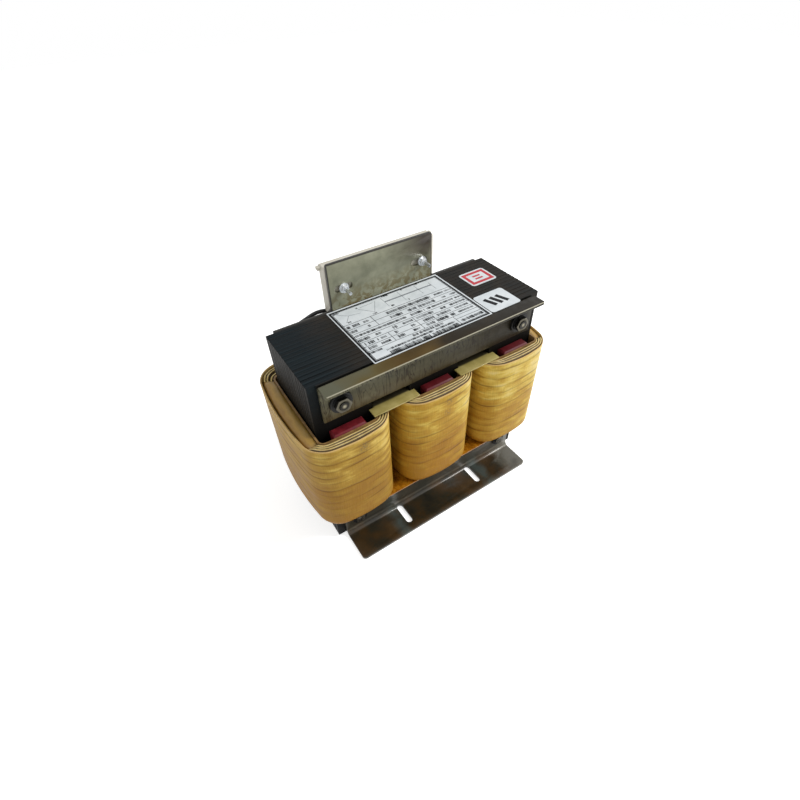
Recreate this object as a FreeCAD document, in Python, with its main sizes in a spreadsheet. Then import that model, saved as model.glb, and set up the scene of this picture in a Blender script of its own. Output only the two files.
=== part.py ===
import FreeCAD, Part
import Sketcher
import math
import os
import re

# Three-phase dry isolation transformer: a laminated three-leg core, a coil on each leg, steel
# clamps and feet, and a terminal block on a plate that stands above the core.
# Frame: X along the core, Y from front (-) to back (+), Z up, origin on the floor in the middle.

# Driving dimensions in millimetres, each with what it measures
SIZES = (
    ("core_length", 240, "core, end to end"),
    ("core_height", 211.3, "core, bottom to top"),
    ("stack_depth", 82, "core, front to back"),
    ("leg_width", 54, "each of the three legs"),
    ("yoke_height", 42, "upper and lower yoke"),
    ("packet_pitch", 5, "one packet of laminations"),
    ("packet_groove", 0.7, "width of the line between packets"),
    ("packet_relief", 0.3, "depth of the line between packets"),
    ("insulation_thickness", 0.8, "sheet between core and clamps"),
    ("insulation_margin", 2, "sheet showing past the clamp's inner edge"),
    ("clamp_inset", 8, "core's end to the upper clamps' ends"),
    ("clamp_web", 39, "height of each clamp on the yoke"),
    ("clamp_thickness", 3, "upper clamp steel"),
    ("clamp_flange", 16.5, "top flange of the front clamp"),
    ("bend_radius", 1.5, "inside of the front clamp's bend"),
    ("corner_radius", 2, "cut corners of the clamps"),
    ("tab_width", 111, "plate above the back clamp"),
    ("tab_height", 45, "plate above the core"),
    ("tab_root_radius", 4, "inside corners where the plate leaves the clamp"),
    ("foot_inset", 8.5, "core's end to the foot brackets' ends"),
    ("foot_thickness", 3, "foot bracket steel"),
    ("foot_bend", 5, "inside of the foot brackets' bend"),
    ("foot_corner", 4, "cut corners of the foot brackets"),
    ("foot_span", 159, "front foot edge to back foot edge"),
    ("slot_spacing", 95.4, "foot slots along X"),
    ("slot_margin", 9, "foot slot's outer end to the foot's edge"),
    ("slot_root", 0.7, "foot slot's inner end to the web"),
    ("slot_width", 7, "foot slot"),
    ("bolt_diameter", 8, "core clamping bolts"),
    ("bolt_head_flats", 13, "bolt heads and nuts across flats"),
    ("bolt_head_height", 5.5, "bolt heads"),
    ("nut_height", 3.5, "nuts of the clamping bolts"),
    ("nut_chamfer", 0.8, "corners of heads and nuts"),
    ("bolt_end", 0.6, "bolt end past its nut"),
    ("sleeve_diameter", 11, "insulating sleeve round each bolt"),
    ("sleeve_clearance", 0.25, "sleeve in its holes and on its bolt, at the side"),
    ("collar_diameter", 20, "insulating collars under the washers"),
    ("collar_thickness", 2, "insulating collars"),
    ("small_collar", 16, "insulating collars of the lower bolts"),
    ("bolt_offset", 2.5, "bolts outside the middles of the outer legs"),
    ("upper_bolt_drop", 1.8, "upper bolts below the middle of the yoke"),
    ("lower_bolt_drop", 0.7, "lower bolts below the middle of the yoke"),
    ("low_head_diameter", 10, "round heads of the lower bolts"),
    ("low_head_height", 2, "round heads of the lower bolts"),
    ("washer_diameter", 16, "steel washers"),
    ("washer_thickness", 1, "steel washers"),
    ("wedge_inset", 11.5, "leg's side to wedge's side"),
    ("wedge_thickness", 9.8, "leg wedges at the top"),
    ("wedge_foot", 5.5, "leg wedges at the bottom"),
    ("wedge_rise", 1.5, "leg wedges above the coil tube"),
    ("wedge_chamfer", 1.5, "top edges of the wedges"),
    ("fit_gap", 0.2, "clearance between pieces that are laid together"),
    ("leg_clearance", 1.2, "leg side to coil tube"),
    ("tube_wall", 1.8, "coil tube"),
    ("tube_height", 117, "coil tube"),
    ("left_coil_drop", 2.7, "top of the left coil below the others"),
    ("tube_corner", 5, "inside corners of the coil tube"),
    ("tube_bow", 0.3, "bow of the coil tube's sides"),
    ("low_build", 5.2, "low voltage winding, measured at the side"),
    ("barrier_build", 1.2, "barrier between the windings, at the side"),
    ("high_build", 5, "high voltage winding, at the side"),
    ("wrap_gap", 0.8, "air gap inside the outer wrap, at the side"),
    ("wrap_build", 2.1, "outer wrap, at the side"),
    ("front_build", 11.7, "whole coil wall at the front"),
    ("back_build", 23.8, "whole coil wall at the back, with the leads"),
    ("coil_corner", 25, "outside corners of the coil"),
    ("coil_bow", 3.2, "bow of the coil's sides"),
    ("coil_nose", 1.5, "bow of the coil's front and back"),
    ("winding_margin", 1.5, "windings short of the tube's ends"),
    ("wrap_drop", 1.5, "outer wrap below the tube's top"),
    ("wrap_rounding", 9, "bottom edge of the outer wrap"),
    ("wrap_bevel", 4, "inside bottom edge of the outer wrap"),
    ("coil_gap", 3.2, "gap between neighbouring coils"),
    ("strip_overlap", 4, "strip that bridges two coils, past the window's sides"),
    ("strip_reach", 11, "strip past the core's face"),
    ("strip_thickness", 1.2, "upper strips"),
    ("sheet_reach", 14.5, "lower sheets past the core's face"),
    ("sheet_thickness", 1.3, "lower sheets"),
    ("window_clearance", 1, "strip's tongue to the legs"),
    ("block_length", 115, "terminal block"),
    ("block_shift", 1.5, "middle of the terminal block along X"),
    ("block_drop", 4, "terminal block below the plate's top"),
    ("block_height", 47, "terminal block"),
    ("block_thickness", 12, "terminal block"),
    ("block_wall", 3.2, "terminal block wall against the plate"),
    ("block_rounding", 1, "outer edges of the terminal block"),
    ("lug_size", 4, "cover lugs at the block's upper corners"),
    ("terminal_pitch", 11, "terminals along X"),
    ("chamber_width", 9.2, "chamber of each terminal"),
    ("chamber_height", 36, "chamber of each terminal, open below"),
    ("clamp_block", 8.6, "terminal clamp along X"),
    ("clamp_block_height", 12, "terminal clamp"),
    ("clamp_block_depth", 7.4, "terminal clamp along Y"),
    ("terminal_screw", 3.5, "terminal screw diameter"),
    ("terminal_head", 6, "terminal screw head diameter"),
    ("terminal_head_height", 2, "terminal screw head"),
    ("screw_spacing", 85, "screws of the block along X"),
    ("screw_drop", 25.4, "screws of the block below the plate's top"),
    ("screw_diameter", 3.2, "screws of the block"),
    ("screw_head", 6.4, "screws of the block, head diameter"),
    ("screw_head_height", 2.6, "screws of the block, head"),
    ("screw_end", 9, "screw end past its nut"),
    ("screw_nut_flats", 6.4, "nuts of the block's screws"),
    ("screw_nut_height", 3.2, "nuts of the block's screws"),
    ("screw_washer", 9.5, "washers of the block's screws"),
    ("screw_washer_thickness", 1, "washers of the block's screws"),
    ("plate_slot_spacing", 82, "slots in the upright plate along X"),
    ("plate_slot_length", 18, "slots in the upright plate"),
    ("plate_slot_width", 6.6, "slots in the upright plate"),
    ("lead_diameter", 3.8, "lead wires"),
    ("lead_insert", 8, "lead end inside its terminal clamp"),
    ("label_thickness", 0.25, "label and stickers"),
    ("label_inset", 59, "core's end to the rating label's end"),
    ("label_shift", -1, "middle of the label along X"),
    ("label_overhang", 4.2, "label past the core's front edge"),
    ("label_corner", 0.8, "corners of the label"),
    ("square_sticker_size", 34.5, "square sticker along X"),
    ("square_sticker_depth", 29.2, "square sticker along Y"),
    ("sticker_gap", 1.05, "rating label to square sticker"),
    ("square_sticker_overhang", 3.7, "square sticker past the core's front edge"),
    ("small_sticker_length", 30, "small sticker along X"),
    ("small_sticker_depth", 24.7, "small sticker along Y"),
    ("small_sticker_inset", 14, "core's end to the small sticker's end"),
    ("small_sticker_setback", 12.4, "small sticker's middle behind the core's middle"),
    ("sticker_corner", 3, "corners of the stickers"),
)

# Sizes that follow from them. A depth is measured from the coil tube's inside outwards, at the side.
WORKED_OUT = (
    ("leg_pitch", "=(core_length - leg_width) / 2", "leg to leg"),
    ("window_width", "=leg_pitch - leg_width", "leg to leg, the free space"),
    ("tube_side", "=leg_width / 2 + leg_clearance", "leg's middle to the coil tube, along X"),
    ("tube_face", "=stack_depth / 2 + wedge_thickness + 2 * fit_gap", "core's middle to the tube, along Y"),
    ("coil_build", "=(window_width - coil_gap) / 2 - leg_clearance", "whole coil wall at the side"),
    ("winding_sum", "=low_build + barrier_build + high_build + 3 * fit_gap", "windings and barrier as given"),
    ("layer_sum", "=tube_wall + winding_sum + wrap_gap + wrap_build", "layers of the coil wall as given"),
    ("layer_fill", "=coil_build / layer_sum", "layers as they fill the window, over the layers as given"),
    ("layer_gap", "=fit_gap * layer_fill", "clearance between the layers"),
    ("tube_edge", "=tube_wall * layer_fill", "depth of the coil tube's outside"),
    ("low_start", "=tube_edge + layer_gap", "depth of the low voltage winding's inside"),
    ("low_edge", "=low_start + low_build * layer_fill", "depth of the low voltage winding's outside"),
    ("barrier_start", "=low_edge + layer_gap", "depth of the barrier's inside"),
    ("barrier_edge", "=barrier_start + barrier_build * layer_fill", "depth of the barrier's outside"),
    ("high_start", "=barrier_edge + layer_gap", "depth of the high voltage winding's inside"),
    ("high_edge", "=high_start + high_build * layer_fill", "depth of the high voltage winding's outside"),
    ("wrap_start", "=high_edge + wrap_gap * layer_fill", "depth of the outer wrap's inside"),
    ("wrap_wall", "=wrap_build * layer_fill", "wall of the outer wrap"),
    ("wrap_turn", "=wrap_rounding * layer_fill", "outer wrap's bottom edge, outside"),
    ("wrap_slope", "=wrap_bevel * layer_fill", "outer wrap's bottom edge, inside"),
)

doc = FreeCAD.newDocument("isolation_transformer")
sheet = doc.addObject("Spreadsheet::Sheet", "Sizes")
for row, (alias, size, note) in enumerate(SIZES + WORKED_OUT, start=1):
    sheet.set(f"A{row}", note)
    sheet.set(f"B{row}", str(size))
    sheet.setAlias(f"B{row}", alias)
doc.recompute()

ALIASES = frozenset(alias for alias, size, note in SIZES + WORKED_OUT)
nodes = []

# Places worked out from the sizes, as formulas
CORE_FACE = "(stack_depth / 2)"
CORE_TOP = "(foot_thickness + core_height)"
YOKE_TOP = "(foot_thickness + yoke_height)"
UPPER_YOKE = f"({CORE_TOP} - yoke_height)"
STEEL_BACK = f"({CORE_FACE} + insulation_thickness)"
CLAMP_FRONT = f"({STEEL_BACK} + clamp_thickness)"
FOOT_FRONT = f"({STEEL_BACK} + foot_thickness)"
CLAMP_LENGTH = "(core_length - 2 * clamp_inset)"
FOOT_LENGTH = "(core_length - 2 * foot_inset)"
SLOT_START = f"({FOOT_FRONT} + slot_root)"
SLOT_END = "(foot_span / 2 - slot_margin)"
TAB_TOP = f"({CORE_TOP} + tab_height)"
BOLT_PLACE = "(leg_pitch + bolt_offset)"
UPPER_BOLT = f"({CORE_TOP} - yoke_height / 2 - upper_bolt_drop)"
LOWER_BOLT = "(foot_thickness + yoke_height / 2 - lower_bolt_drop)"
BOLT_HOLE = "(sleeve_diameter / 2 + sleeve_clearance)"

COIL_BASE = f"({YOKE_TOP} + sheet_thickness + 2 * fit_gap)"
COIL_TOP = f"({COIL_BASE} + tube_height)"

SCREW_LEVEL = f"({TAB_TOP} - screw_drop)"
BLOCK_TOP = f"({TAB_TOP} - block_drop)"
BLOCK_BOTTOM = f"({BLOCK_TOP} - block_height)"
BLOCK_BACK = f"({CLAMP_FRONT} + block_thickness)"
CLAMP_BLOCK_Y = f"({CLAMP_FRONT} + block_wall + fit_gap)"
CLAMP_BLOCK_TOP = f"({BLOCK_BOTTOM} + chamber_height - fit_gap)"
CLAMP_BLOCK_BOTTOM = f"({CLAMP_BLOCK_TOP} - clamp_block_height)"

LABEL_LENGTH = "(core_length - 2 * label_inset)"
LABEL_DEPTH = "(stack_depth + label_overhang)"
LABEL_END = f"(label_shift + {LABEL_LENGTH} / 2)"


def from_sheet(formula):
    """The formula with each of its sizes read from the sheet."""
    def name(word):
        return f"Sizes.{word[0]}" if word[0] in ALIASES else word[0]
    return re.sub(r"[a-z]\w+", name, formula)


def amount(formula):
    """What a formula comes to now."""
    return float(sheet.evalExpression(formula))


def bind(thing, **formulas):
    """Ties properties of an object to formulas."""
    for name, formula in formulas.items():
        thing.setExpression(name, from_sheet(formula))


def place(thing, x="0", y="0", z="0"):
    """Ties an object's place to formulas."""
    for axis, formula in zip("xyz", (x, y, z)):
        if formula != "0":
            thing.setExpression(f"Placement.Base.{axis}", from_sheet(formula))
    return thing


def node(label, *things):
    """Names a finished piece, or a group of like pieces, and keeps it for export."""
    thing = things[0]
    if len(things) > 1:
        thing = doc.addObject("Part::Compound", f"{label}_group")
        thing.Links = list(things)
    thing.Label = label
    nodes.append(thing)


# Sketches

def new_body(name):
    return doc.addObject("PartDesign::Body", name)


def sketch_on(body, plane, offset="0"):
    """An empty sketch on one of the body's own planes, moved along its normal."""
    sketch = body.newObject("Sketcher::SketchObject", f"{body.Name}_sketch")
    base = next(item for item in body.Origin.OriginFeatures if item.Role == plane)
    sketch.AttachmentSupport = (base, [""])
    sketch.MapMode = "FlatFace"
    if offset != "0":
        sketch.setExpression("AttachmentOffset.Base.z", from_sheet(offset))
    return sketch


def hold(sketch, kind, formula, *where):
    """One constraint whose value follows a formula."""
    constraint = sketch.addConstraint(Sketcher.Constraint(kind, *where, amount(formula)))
    sketch.setExpression(f"Constraints[{constraint}]", from_sheet(formula))


def hold_point(sketch, line, end, x, y):
    """Keeps one point of a sketch at the place that two formulas give."""
    for kind, formula, axis in (("DistanceX", x, -2), ("DistanceY", y, -1)):
        if formula == "0":
            sketch.addConstraint(Sketcher.Constraint("PointOnObject", line, end, axis))
        else:
            hold(sketch, kind, formula, -1, 1, line, end)


def polygon(sketch, corners):
    """A closed loop of straight lines."""
    points = [FreeCAD.Vector(amount(x), amount(y), 0) for x, y in corners]
    first = sketch.GeometryCount
    for start, end in zip(points, points[1:] + points[:1]):
        sketch.addGeometry(Part.LineSegment(start, end), False)
    for number, (x, y) in enumerate(corners):
        line = first + number
        before = first + (number - 1) % len(corners)
        sketch.addConstraint(Sketcher.Constraint("Coincident", before, 2, line, 1))
        hold_point(sketch, line, 1, x, y)


def rectangle(sketch, left, bottom, right, top):
    polygon(sketch, ((left, bottom), (right, bottom), (right, top), (left, top)))


def circle(sketch, x, y, radius):
    centre = FreeCAD.Vector(amount(x), amount(y), 0)
    number = sketch.addGeometry(Part.Circle(centre, FreeCAD.Vector(0, 0, 1), amount(radius)), False)
    hold_point(sketch, number, 3, x, y)
    hold(sketch, "Radius", radius, number)


def arc(sketch, x, y, radius, start, end):
    """An arc about a centre, from one angle to another, in degrees."""
    ring = Part.Circle(FreeCAD.Vector(x, y, 0), FreeCAD.Vector(0, 0, 1), radius)
    return sketch.addGeometry(Part.ArcOfCircle(ring, math.radians(start), math.radians(end)), False)


def join_smoothly(sketch, pieces):
    """Joins arcs and lines, each listed with its first and last end, into one smooth loop."""
    for (piece, first, last), (other, start, end) in zip(pieces, pieces[1:] + pieces[:1]):
        sketch.addConstraint(Sketcher.Constraint("Tangent", piece, last, other, start))


def slot(sketch, x, y, length, width, along):
    """A slot with round ends, along the sketch's x or y."""
    reach = f"(({length}) - ({width})) / 2"
    shift = {"x": (reach, "0"), "y": ("0", reach)}[along]
    radius = amount(width) / 2
    dx, dy = (amount(formula) for formula in shift)
    turn = 0 if along == "x" else 90
    centres = [(f"{x} + {shift[0]}", f"{y} + {shift[1]}"), (f"{x} - {shift[0]}", f"{y} - {shift[1]}")]
    points = [(amount(cx), amount(cy)) for cx, cy in centres]
    side = FreeCAD.Vector(-dy, dx, 0).normalize() * radius
    near, far = (FreeCAD.Vector(px, py, 0) for px, py in points)
    head = arc(sketch, *points[0], radius, turn - 90, turn + 90)
    line = sketch.addGeometry(Part.LineSegment(near + side, far + side), False)
    tail = arc(sketch, *points[1], radius, turn + 90, turn + 270)
    back = sketch.addGeometry(Part.LineSegment(far - side, near - side), False)
    join_smoothly(sketch, [(head, 1, 2), (line, 1, 2), (tail, 1, 2), (back, 1, 2)])
    for number, centre in ((head, centres[0]), (tail, centres[1])):
        hold_point(sketch, number, 3, *centre)
        hold(sketch, "Radius", f"({width}) / 2", number)


def bowed_loop(sketch, side, front, back, corner, bow, nose):
    """A rounded rectangle whose four sides bow outwards: eight arcs, tangent to each other.

    side, front and back are its reach from the leg's middle, at the top of each bow.
    """
    across = f"({side} - {bow} - {corner})"
    towards_front = f"({front} - {nose} - {corner})"
    towards_back = f"({back} - {nose} - {corner})"
    run = f"({towards_front} + {towards_back})"
    side_radius = f"({corner} + ({run}^2 / 4 + {bow}^2) / (2 * {bow}))"
    nose_radius = f"({corner} + ({across}^2 + {nose}^2) / (2 * {nose}))"
    corner_value = amount(corner)
    half, low, high = amount(across), -amount(towards_front), amount(towards_back)
    middle = (low + high) / 2
    big, wide = amount(side_radius), amount(nose_radius)
    lean_side = math.degrees(math.asin((high - low) / 2 / (big - corner_value)))
    lean_nose = math.degrees(math.asin(half / (wide - corner_value)))
    side_centre = half + corner_value + amount(bow) - big
    nose_centre = corner_value + amount(nose) - wide
    right = arc(sketch, side_centre, middle, big, -lean_side, lean_side)
    back_right = arc(sketch, half, high, corner_value, lean_side, 90 - lean_nose)
    rear = arc(sketch, 0, high + nose_centre, wide, 90 - lean_nose, 90 + lean_nose)
    back_left = arc(sketch, -half, high, corner_value, 90 + lean_nose, 180 - lean_side)
    left = arc(sketch, -side_centre, middle, big, 180 - lean_side, 180 + lean_side)
    front_left = arc(sketch, -half, low, corner_value, 180 + lean_side, 270 - lean_nose)
    fore = arc(sketch, 0, low - nose_centre, wide, 270 - lean_nose, 270 + lean_nose)
    front_right = arc(sketch, half, low, corner_value, 270 + lean_nose, 360 - lean_side)
    loop = (right, back_right, rear, back_left, left, front_left, fore, front_right)
    join_smoothly(sketch, [(piece, 1, 2) for piece in loop])
    for piece, x, y in (
        (back_right, across, towards_back), (back_left, f"-{across}", towards_back),
        (front_left, f"-{across}", f"-{towards_front}"), (front_right, across, f"-{towards_front}"),
    ):
        hold_point(sketch, piece, 3, x, y)
        hold(sketch, "Radius", corner, piece)
    for piece in (right, left):
        hold(sketch, "Radius", side_radius, piece)
    for piece in (rear, fore):
        hold(sketch, "Radius", nose_radius, piece)


# Features

def pad(body, sketch, length, symmetric=False):
    feature = body.newObject("PartDesign::Pad", f"{body.Name}_pad")
    feature.Profile = sketch
    feature.SideType = "Symmetric" if symmetric else "One side"
    bind(feature, Length=length)
    return feature


def pocket(body, sketch):
    """Cuts the sketch right through, both ways."""
    feature = body.newObject("PartDesign::Pocket", f"{body.Name}_pocket")
    feature.Profile = sketch
    feature.Type = "ThroughAll"
    feature.SideType = "Symmetric"
    return feature


def pocket_back(body, sketch, length):
    """Cuts from the sketch towards +Y, or down from a level sketch."""
    feature = body.newObject("PartDesign::Pocket", f"{body.Name}_pocket")
    feature.Profile = sketch
    bind(feature, Length=length)
    return feature


def dress(body, kind, radius, edges):
    """Rounds (Fillet) or bevels (Chamfer) the edges of the body's last feature that a test picks."""
    doc.recompute()
    base = body.Tip
    names = [f"Edge{number}" for number, edge in enumerate(base.Shape.Edges, start=1) if edges(edge)]
    feature = body.newObject(f"PartDesign::{kind}", f"{body.Name}_{kind.lower()}")
    feature.Base = (base, names)
    bind(feature, **{"Radius" if kind == "Fillet" else "Size": radius})
    return feature


def is_at(edge, x=None, y=None, z=None):
    """Whether the whole edge lies at the given coordinates."""
    box = edge.BoundBox
    spans = ((x, box.XMin, box.XMax), (y, box.YMin, box.YMax), (z, box.ZMin, box.ZMax))
    return all(want is None or max(abs(low - want), abs(high - want)) < 1e-3 for want, low, high in spans)


def along_y(thing):
    """Turns a piece that is drawn up Z so that it runs towards -Y."""
    thing.Placement = FreeCAD.Placement(FreeCAD.Vector(), FreeCAD.Rotation(FreeCAD.Vector(1, 0, 0), 90))
    return thing


def rod(name, x, y, z, radius, length):
    """A round bar from a point towards -Y."""
    bar = along_y(doc.addObject("Part::Cylinder", name))
    bind(bar, Radius=radius, Height=length)
    return place(bar, x, y, z)


def tube(name, x, y, z, outer, inner, length):
    """A round tube from a point towards -Y."""
    thing = doc.addObject("Part::Cut", name)
    thing.Base = rod(f"{name}_outside", x, y, z, outer, length)
    thing.Tool = rod(f"{name}_inside", x, y, z, inner, length)
    return thing


def hexagon(name, x, y, z, flats, height):
    """A hexagon from a point towards -Y, its corners bevelled by a turned outline."""
    prism = along_y(doc.addObject("Part::Prism", f"{name}_prism"))
    prism.Polygon = 6
    bind(prism, Circumradius=f"({flats}) / sqrt(3)", Height=height)
    turned = new_body(f"{name}_turned")
    sketch = sketch_on(turned, "XZ_Plane")
    outside = f"({flats}) / sqrt(3)"
    polygon(sketch, (
        ("0", "0"), (f"{outside} - nut_chamfer", "0"), (outside, "nut_chamfer / 2"),
        (outside, f"{height} - nut_chamfer / 2"), (f"{outside} - nut_chamfer", height), ("0", height),
    ))
    feature = turned.newObject("PartDesign::Revolution", f"{name}_revolution")
    feature.Profile = sketch
    feature.ReferenceAxis = (sketch, ["V_Axis"])
    feature.Angle = 360
    along_y(turned)
    for thing in (prism, turned):
        place(thing, x, y, z)
    common = doc.addObject("Part::Common", name)
    common.Base = prism
    common.Tool = turned
    return common


def cut(name, base, *tools):
    """One piece less the others."""
    tool = tools[0]
    if len(tools) > 1:
        tool = doc.addObject("Part::MultiFuse", f"{name}_tools")
        tool.Shapes = list(tools)
    thing = doc.addObject("Part::Cut", name)
    thing.Base = base
    thing.Tool = tool
    return thing


# The laminated core

def core_piece(name, outline, bolt_level, lines):
    """A stack of laminations with bolt holes and a fine line between its packets."""
    body = new_body(name)
    sketch = sketch_on(body, "XZ_Plane")
    polygon(sketch, outline)
    pad(body, sketch, "stack_depth", symmetric=True)
    holes = sketch_on(body, "XZ_Plane")
    for side in ("-", ""):
        circle(holes, f"{side}{BOLT_PLACE}", bolt_level, BOLT_HOLE)
    pocket(body, holes)
    groove = sketch_on(body, "XZ_Plane", f"{CORE_FACE} - packet_pitch")
    polygon(groove, lines)
    rectangle(groove, "-core_length", "-core_height", "core_length", "2 * core_height")
    first = pocket_back(body, groove, "packet_groove")
    pattern = body.newObject("PartDesign::LinearPattern", f"{name}_packets")
    pattern.Originals = [first]
    pattern.Direction = (next(item for item in body.Origin.OriginFeatures if item.Role == "Y_Axis"), [""])
    gaps = "(round(stack_depth / packet_pitch) - 1)"
    bind(pattern, Occurrences=gaps, Length=f"({gaps} - 1) * (stack_depth - 2 * packet_pitch) / ({gaps} - 1)")
    body.Tip = pattern
    node(name, body)


def core():
    half = "core_length / 2"
    inner = f"{half} - leg_width"
    floor = "foot_thickness"
    e_shape = (
        (f"-{half}", floor), (half, floor), (half, UPPER_YOKE), (inner, UPPER_YOKE), (inner, YOKE_TOP),
        ("leg_width / 2", YOKE_TOP), ("leg_width / 2", UPPER_YOKE), ("-leg_width / 2", UPPER_YOKE),
        ("-leg_width / 2", YOKE_TOP), (f"-({inner})", YOKE_TOP), (f"-({inner})", UPPER_YOKE),
        (f"-{half}", UPPER_YOKE),
    )
    edge = f"({half} - packet_relief)"
    e_lines = (
        (f"-{edge}", f"{floor} + packet_relief"), (edge, f"{floor} + packet_relief"),
        (edge, f"{UPPER_YOKE} + packet_pitch"), (f"-{edge}", f"{UPPER_YOKE} + packet_pitch"),
    )
    core_piece("core_e_stack", e_shape, LOWER_BOLT, e_lines)
    i_shape = ((f"-{half}", UPPER_YOKE), (half, UPPER_YOKE), (half, CORE_TOP), (f"-{half}", CORE_TOP))
    i_lines = (
        (f"-{edge}", f"{UPPER_YOKE} - packet_pitch"), (edge, f"{UPPER_YOKE} - packet_pitch"),
        (edge, f"{CORE_TOP} - packet_relief"), (f"-{edge}", f"{CORE_TOP} - packet_relief"),
    )
    core_piece("core_i_stack", i_shape, UPPER_BOLT, i_lines)


# Clamps, feet and their insulation

def bolt_holes(body, level):
    holes = sketch_on(body, "XZ_Plane")
    for side in ("-", ""):
        circle(holes, f"{side}{BOLT_PLACE}", level, BOLT_HOLE)
    pocket(body, holes)


def bent_angle(name, web_edge, bend_level, flange_edge, thickness, bend, corner, length, sign, upwards):
    """A steel angle: a web on the core's face and a flange that turns outwards.

    sign is "-" in front of the core and "" behind it. The flange is at the top of an upper
    clamp and at the bottom of a foot.
    """
    body = new_body(name)
    profile = sketch_on(body, "YZ_Plane")
    inside = f"{bend_level} {'-' if upwards else '+'} {thickness}"
    web_front = f"({STEEL_BACK} + {thickness})"
    corners = (
        (f"{sign}{STEEL_BACK}", web_edge), (f"{sign}{STEEL_BACK}", bend_level),
        (f"{sign}{flange_edge}", bend_level), (f"{sign}{flange_edge}", inside),
        (f"{sign}{web_front}", inside), (f"{sign}{web_front}", web_edge),
    )
    polygon(profile, corners)
    pad(body, profile, length, symmetric=True)
    back, front = amount(f"{sign}{STEEL_BACK}"), amount(f"{sign}{web_front}")
    outer_bend, inner_bend = amount(bend_level), amount(inside)
    dress(body, "Fillet", f"{bend} + {thickness}", lambda edge: is_at(edge, y=back, z=outer_bend))
    dress(body, "Fillet", bend, lambda edge: is_at(edge, y=front, z=inner_bend))
    tip, end = amount(f"{sign}{flange_edge}"), amount(length) / 2
    dress(body, "Fillet", corner, lambda edge: any(is_at(edge, x=side, y=tip) for side in (-end, end)))
    return body


def upper_front_clamp():
    body = bent_angle(
        "upper_front_clamp", f"{CORE_TOP} - clamp_web", CORE_TOP, f"({STEEL_BACK} + clamp_flange)",
        "clamp_thickness", "bend_radius", "corner_radius", CLAMP_LENGTH, "-", upwards=True)
    bolt_holes(body, UPPER_BOLT)
    node("upper_front_clamp", body)


def upper_back_clamp():
    """A flat clamp whose middle stands above the core and carries the terminal block."""
    body = new_body("upper_back_clamp")
    profile = sketch_on(body, "XZ_Plane", f"-{CLAMP_FRONT}")
    length, tab = f"{CLAMP_LENGTH} / 2", "tab_width / 2"
    polygon(profile, (
        (f"-{length}", f"{CORE_TOP} - clamp_web"), (length, f"{CORE_TOP} - clamp_web"),
        (length, CORE_TOP), (tab, CORE_TOP), (tab, TAB_TOP), (f"-{tab}", TAB_TOP),
        (f"-{tab}", CORE_TOP), (f"-{length}", CORE_TOP),
    ))
    pad(body, profile, "clamp_thickness")
    top, root, half = amount(TAB_TOP), amount(CORE_TOP), amount(tab)
    dress(body, "Fillet", "corner_radius",
          lambda edge: any(is_at(edge, x=side, z=top) for side in (-half, half)))
    dress(body, "Fillet", "tab_root_radius",
          lambda edge: any(is_at(edge, x=side, z=root) for side in (-half, half)))
    bolt_holes(body, UPPER_BOLT)
    slots = sketch_on(body, "XZ_Plane")
    for side in ("-", ""):
        slot(slots, f"{side}plate_slot_spacing / 2", SCREW_LEVEL, "plate_slot_length", "plate_slot_width", "x")
    pocket(body, slots)
    node("upper_back_clamp", body)


def foot_bracket(name, sign):
    body = bent_angle(
        name, "foot_thickness + clamp_web", "0", "(foot_span / 2)",
        "foot_thickness", "foot_bend", "foot_corner", FOOT_LENGTH, sign, upwards=False)
    bolt_holes(body, LOWER_BOLT)
    slots = sketch_on(body, "XY_Plane")
    for side in ("-", ""):
        slot(slots, f"{side}slot_spacing / 2", f"{sign}({SLOT_START} + {SLOT_END}) / 2",
             f"{SLOT_END} - {SLOT_START}", "slot_width", "y")
    pocket(body, slots)
    node(name, body)


def insulation_sheet(name, y, bottom, top, length, level):
    body = new_body(name)
    profile = sketch_on(body, "XZ_Plane", f"-({y})")
    rectangle(profile, f"-{length} / 2", bottom, f"{length} / 2", top)
    for side in ("-", ""):
        circle(profile, f"{side}{BOLT_PLACE}", level, BOLT_HOLE)
    pad(body, profile, "insulation_thickness")
    return body


def insulation():
    upper_edge = f"{CORE_TOP} - clamp_web - insulation_margin"
    lower_edge = "foot_thickness + clamp_web + insulation_margin"
    faces = (("front", f"-{CORE_FACE}"), ("back", STEEL_BACK))
    node("upper_clamp_insulation", *[
        insulation_sheet(f"upper_{face}_sheet", y, upper_edge, CORE_TOP, CLAMP_LENGTH, UPPER_BOLT)
        for face, y in faces])
    node("lower_clamp_insulation", *[
        insulation_sheet(f"lower_{face}_sheet", y, "foot_thickness", lower_edge, FOOT_LENGTH, LOWER_BOLT)
        for face, y in faces])


# Clamping bolts

def clamp_bolt(name, x, z, steel):
    """A hexagon bolt from the back of the core to the front."""
    under_head = f"({steel} + collar_thickness + washer_thickness)"
    shank = rod(f"{name}_shank", x, under_head, z, "bolt_diameter / 2",
                f"2 * {under_head} + nut_height + bolt_end")
    head = hexagon(f"{name}_head", x, f"{under_head} + bolt_head_height", z,
                   "bolt_head_flats", "bolt_head_height")
    bolt = doc.addObject("Part::Fuse", name)
    bolt.Base = shank
    bolt.Tool = head
    return bolt


def low_bolt(name, x, z, steel):
    """A bolt with a low round head at the front, under the coil, and its nut at the back."""
    head_back = f"-({steel} + collar_thickness)"
    reach = f"({steel} + collar_thickness + washer_thickness + nut_height + bolt_end)"
    shank = rod(f"{name}_shank", x, reach, z, "bolt_diameter / 2", f"{reach} - ({head_back})")
    head = rod(f"{name}_head", x, head_back, z, "low_head_diameter / 2", "low_head_height")
    bolt = doc.addObject("Part::Fuse", name)
    bolt.Base = shank
    bolt.Tool = head
    return bolt


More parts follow.
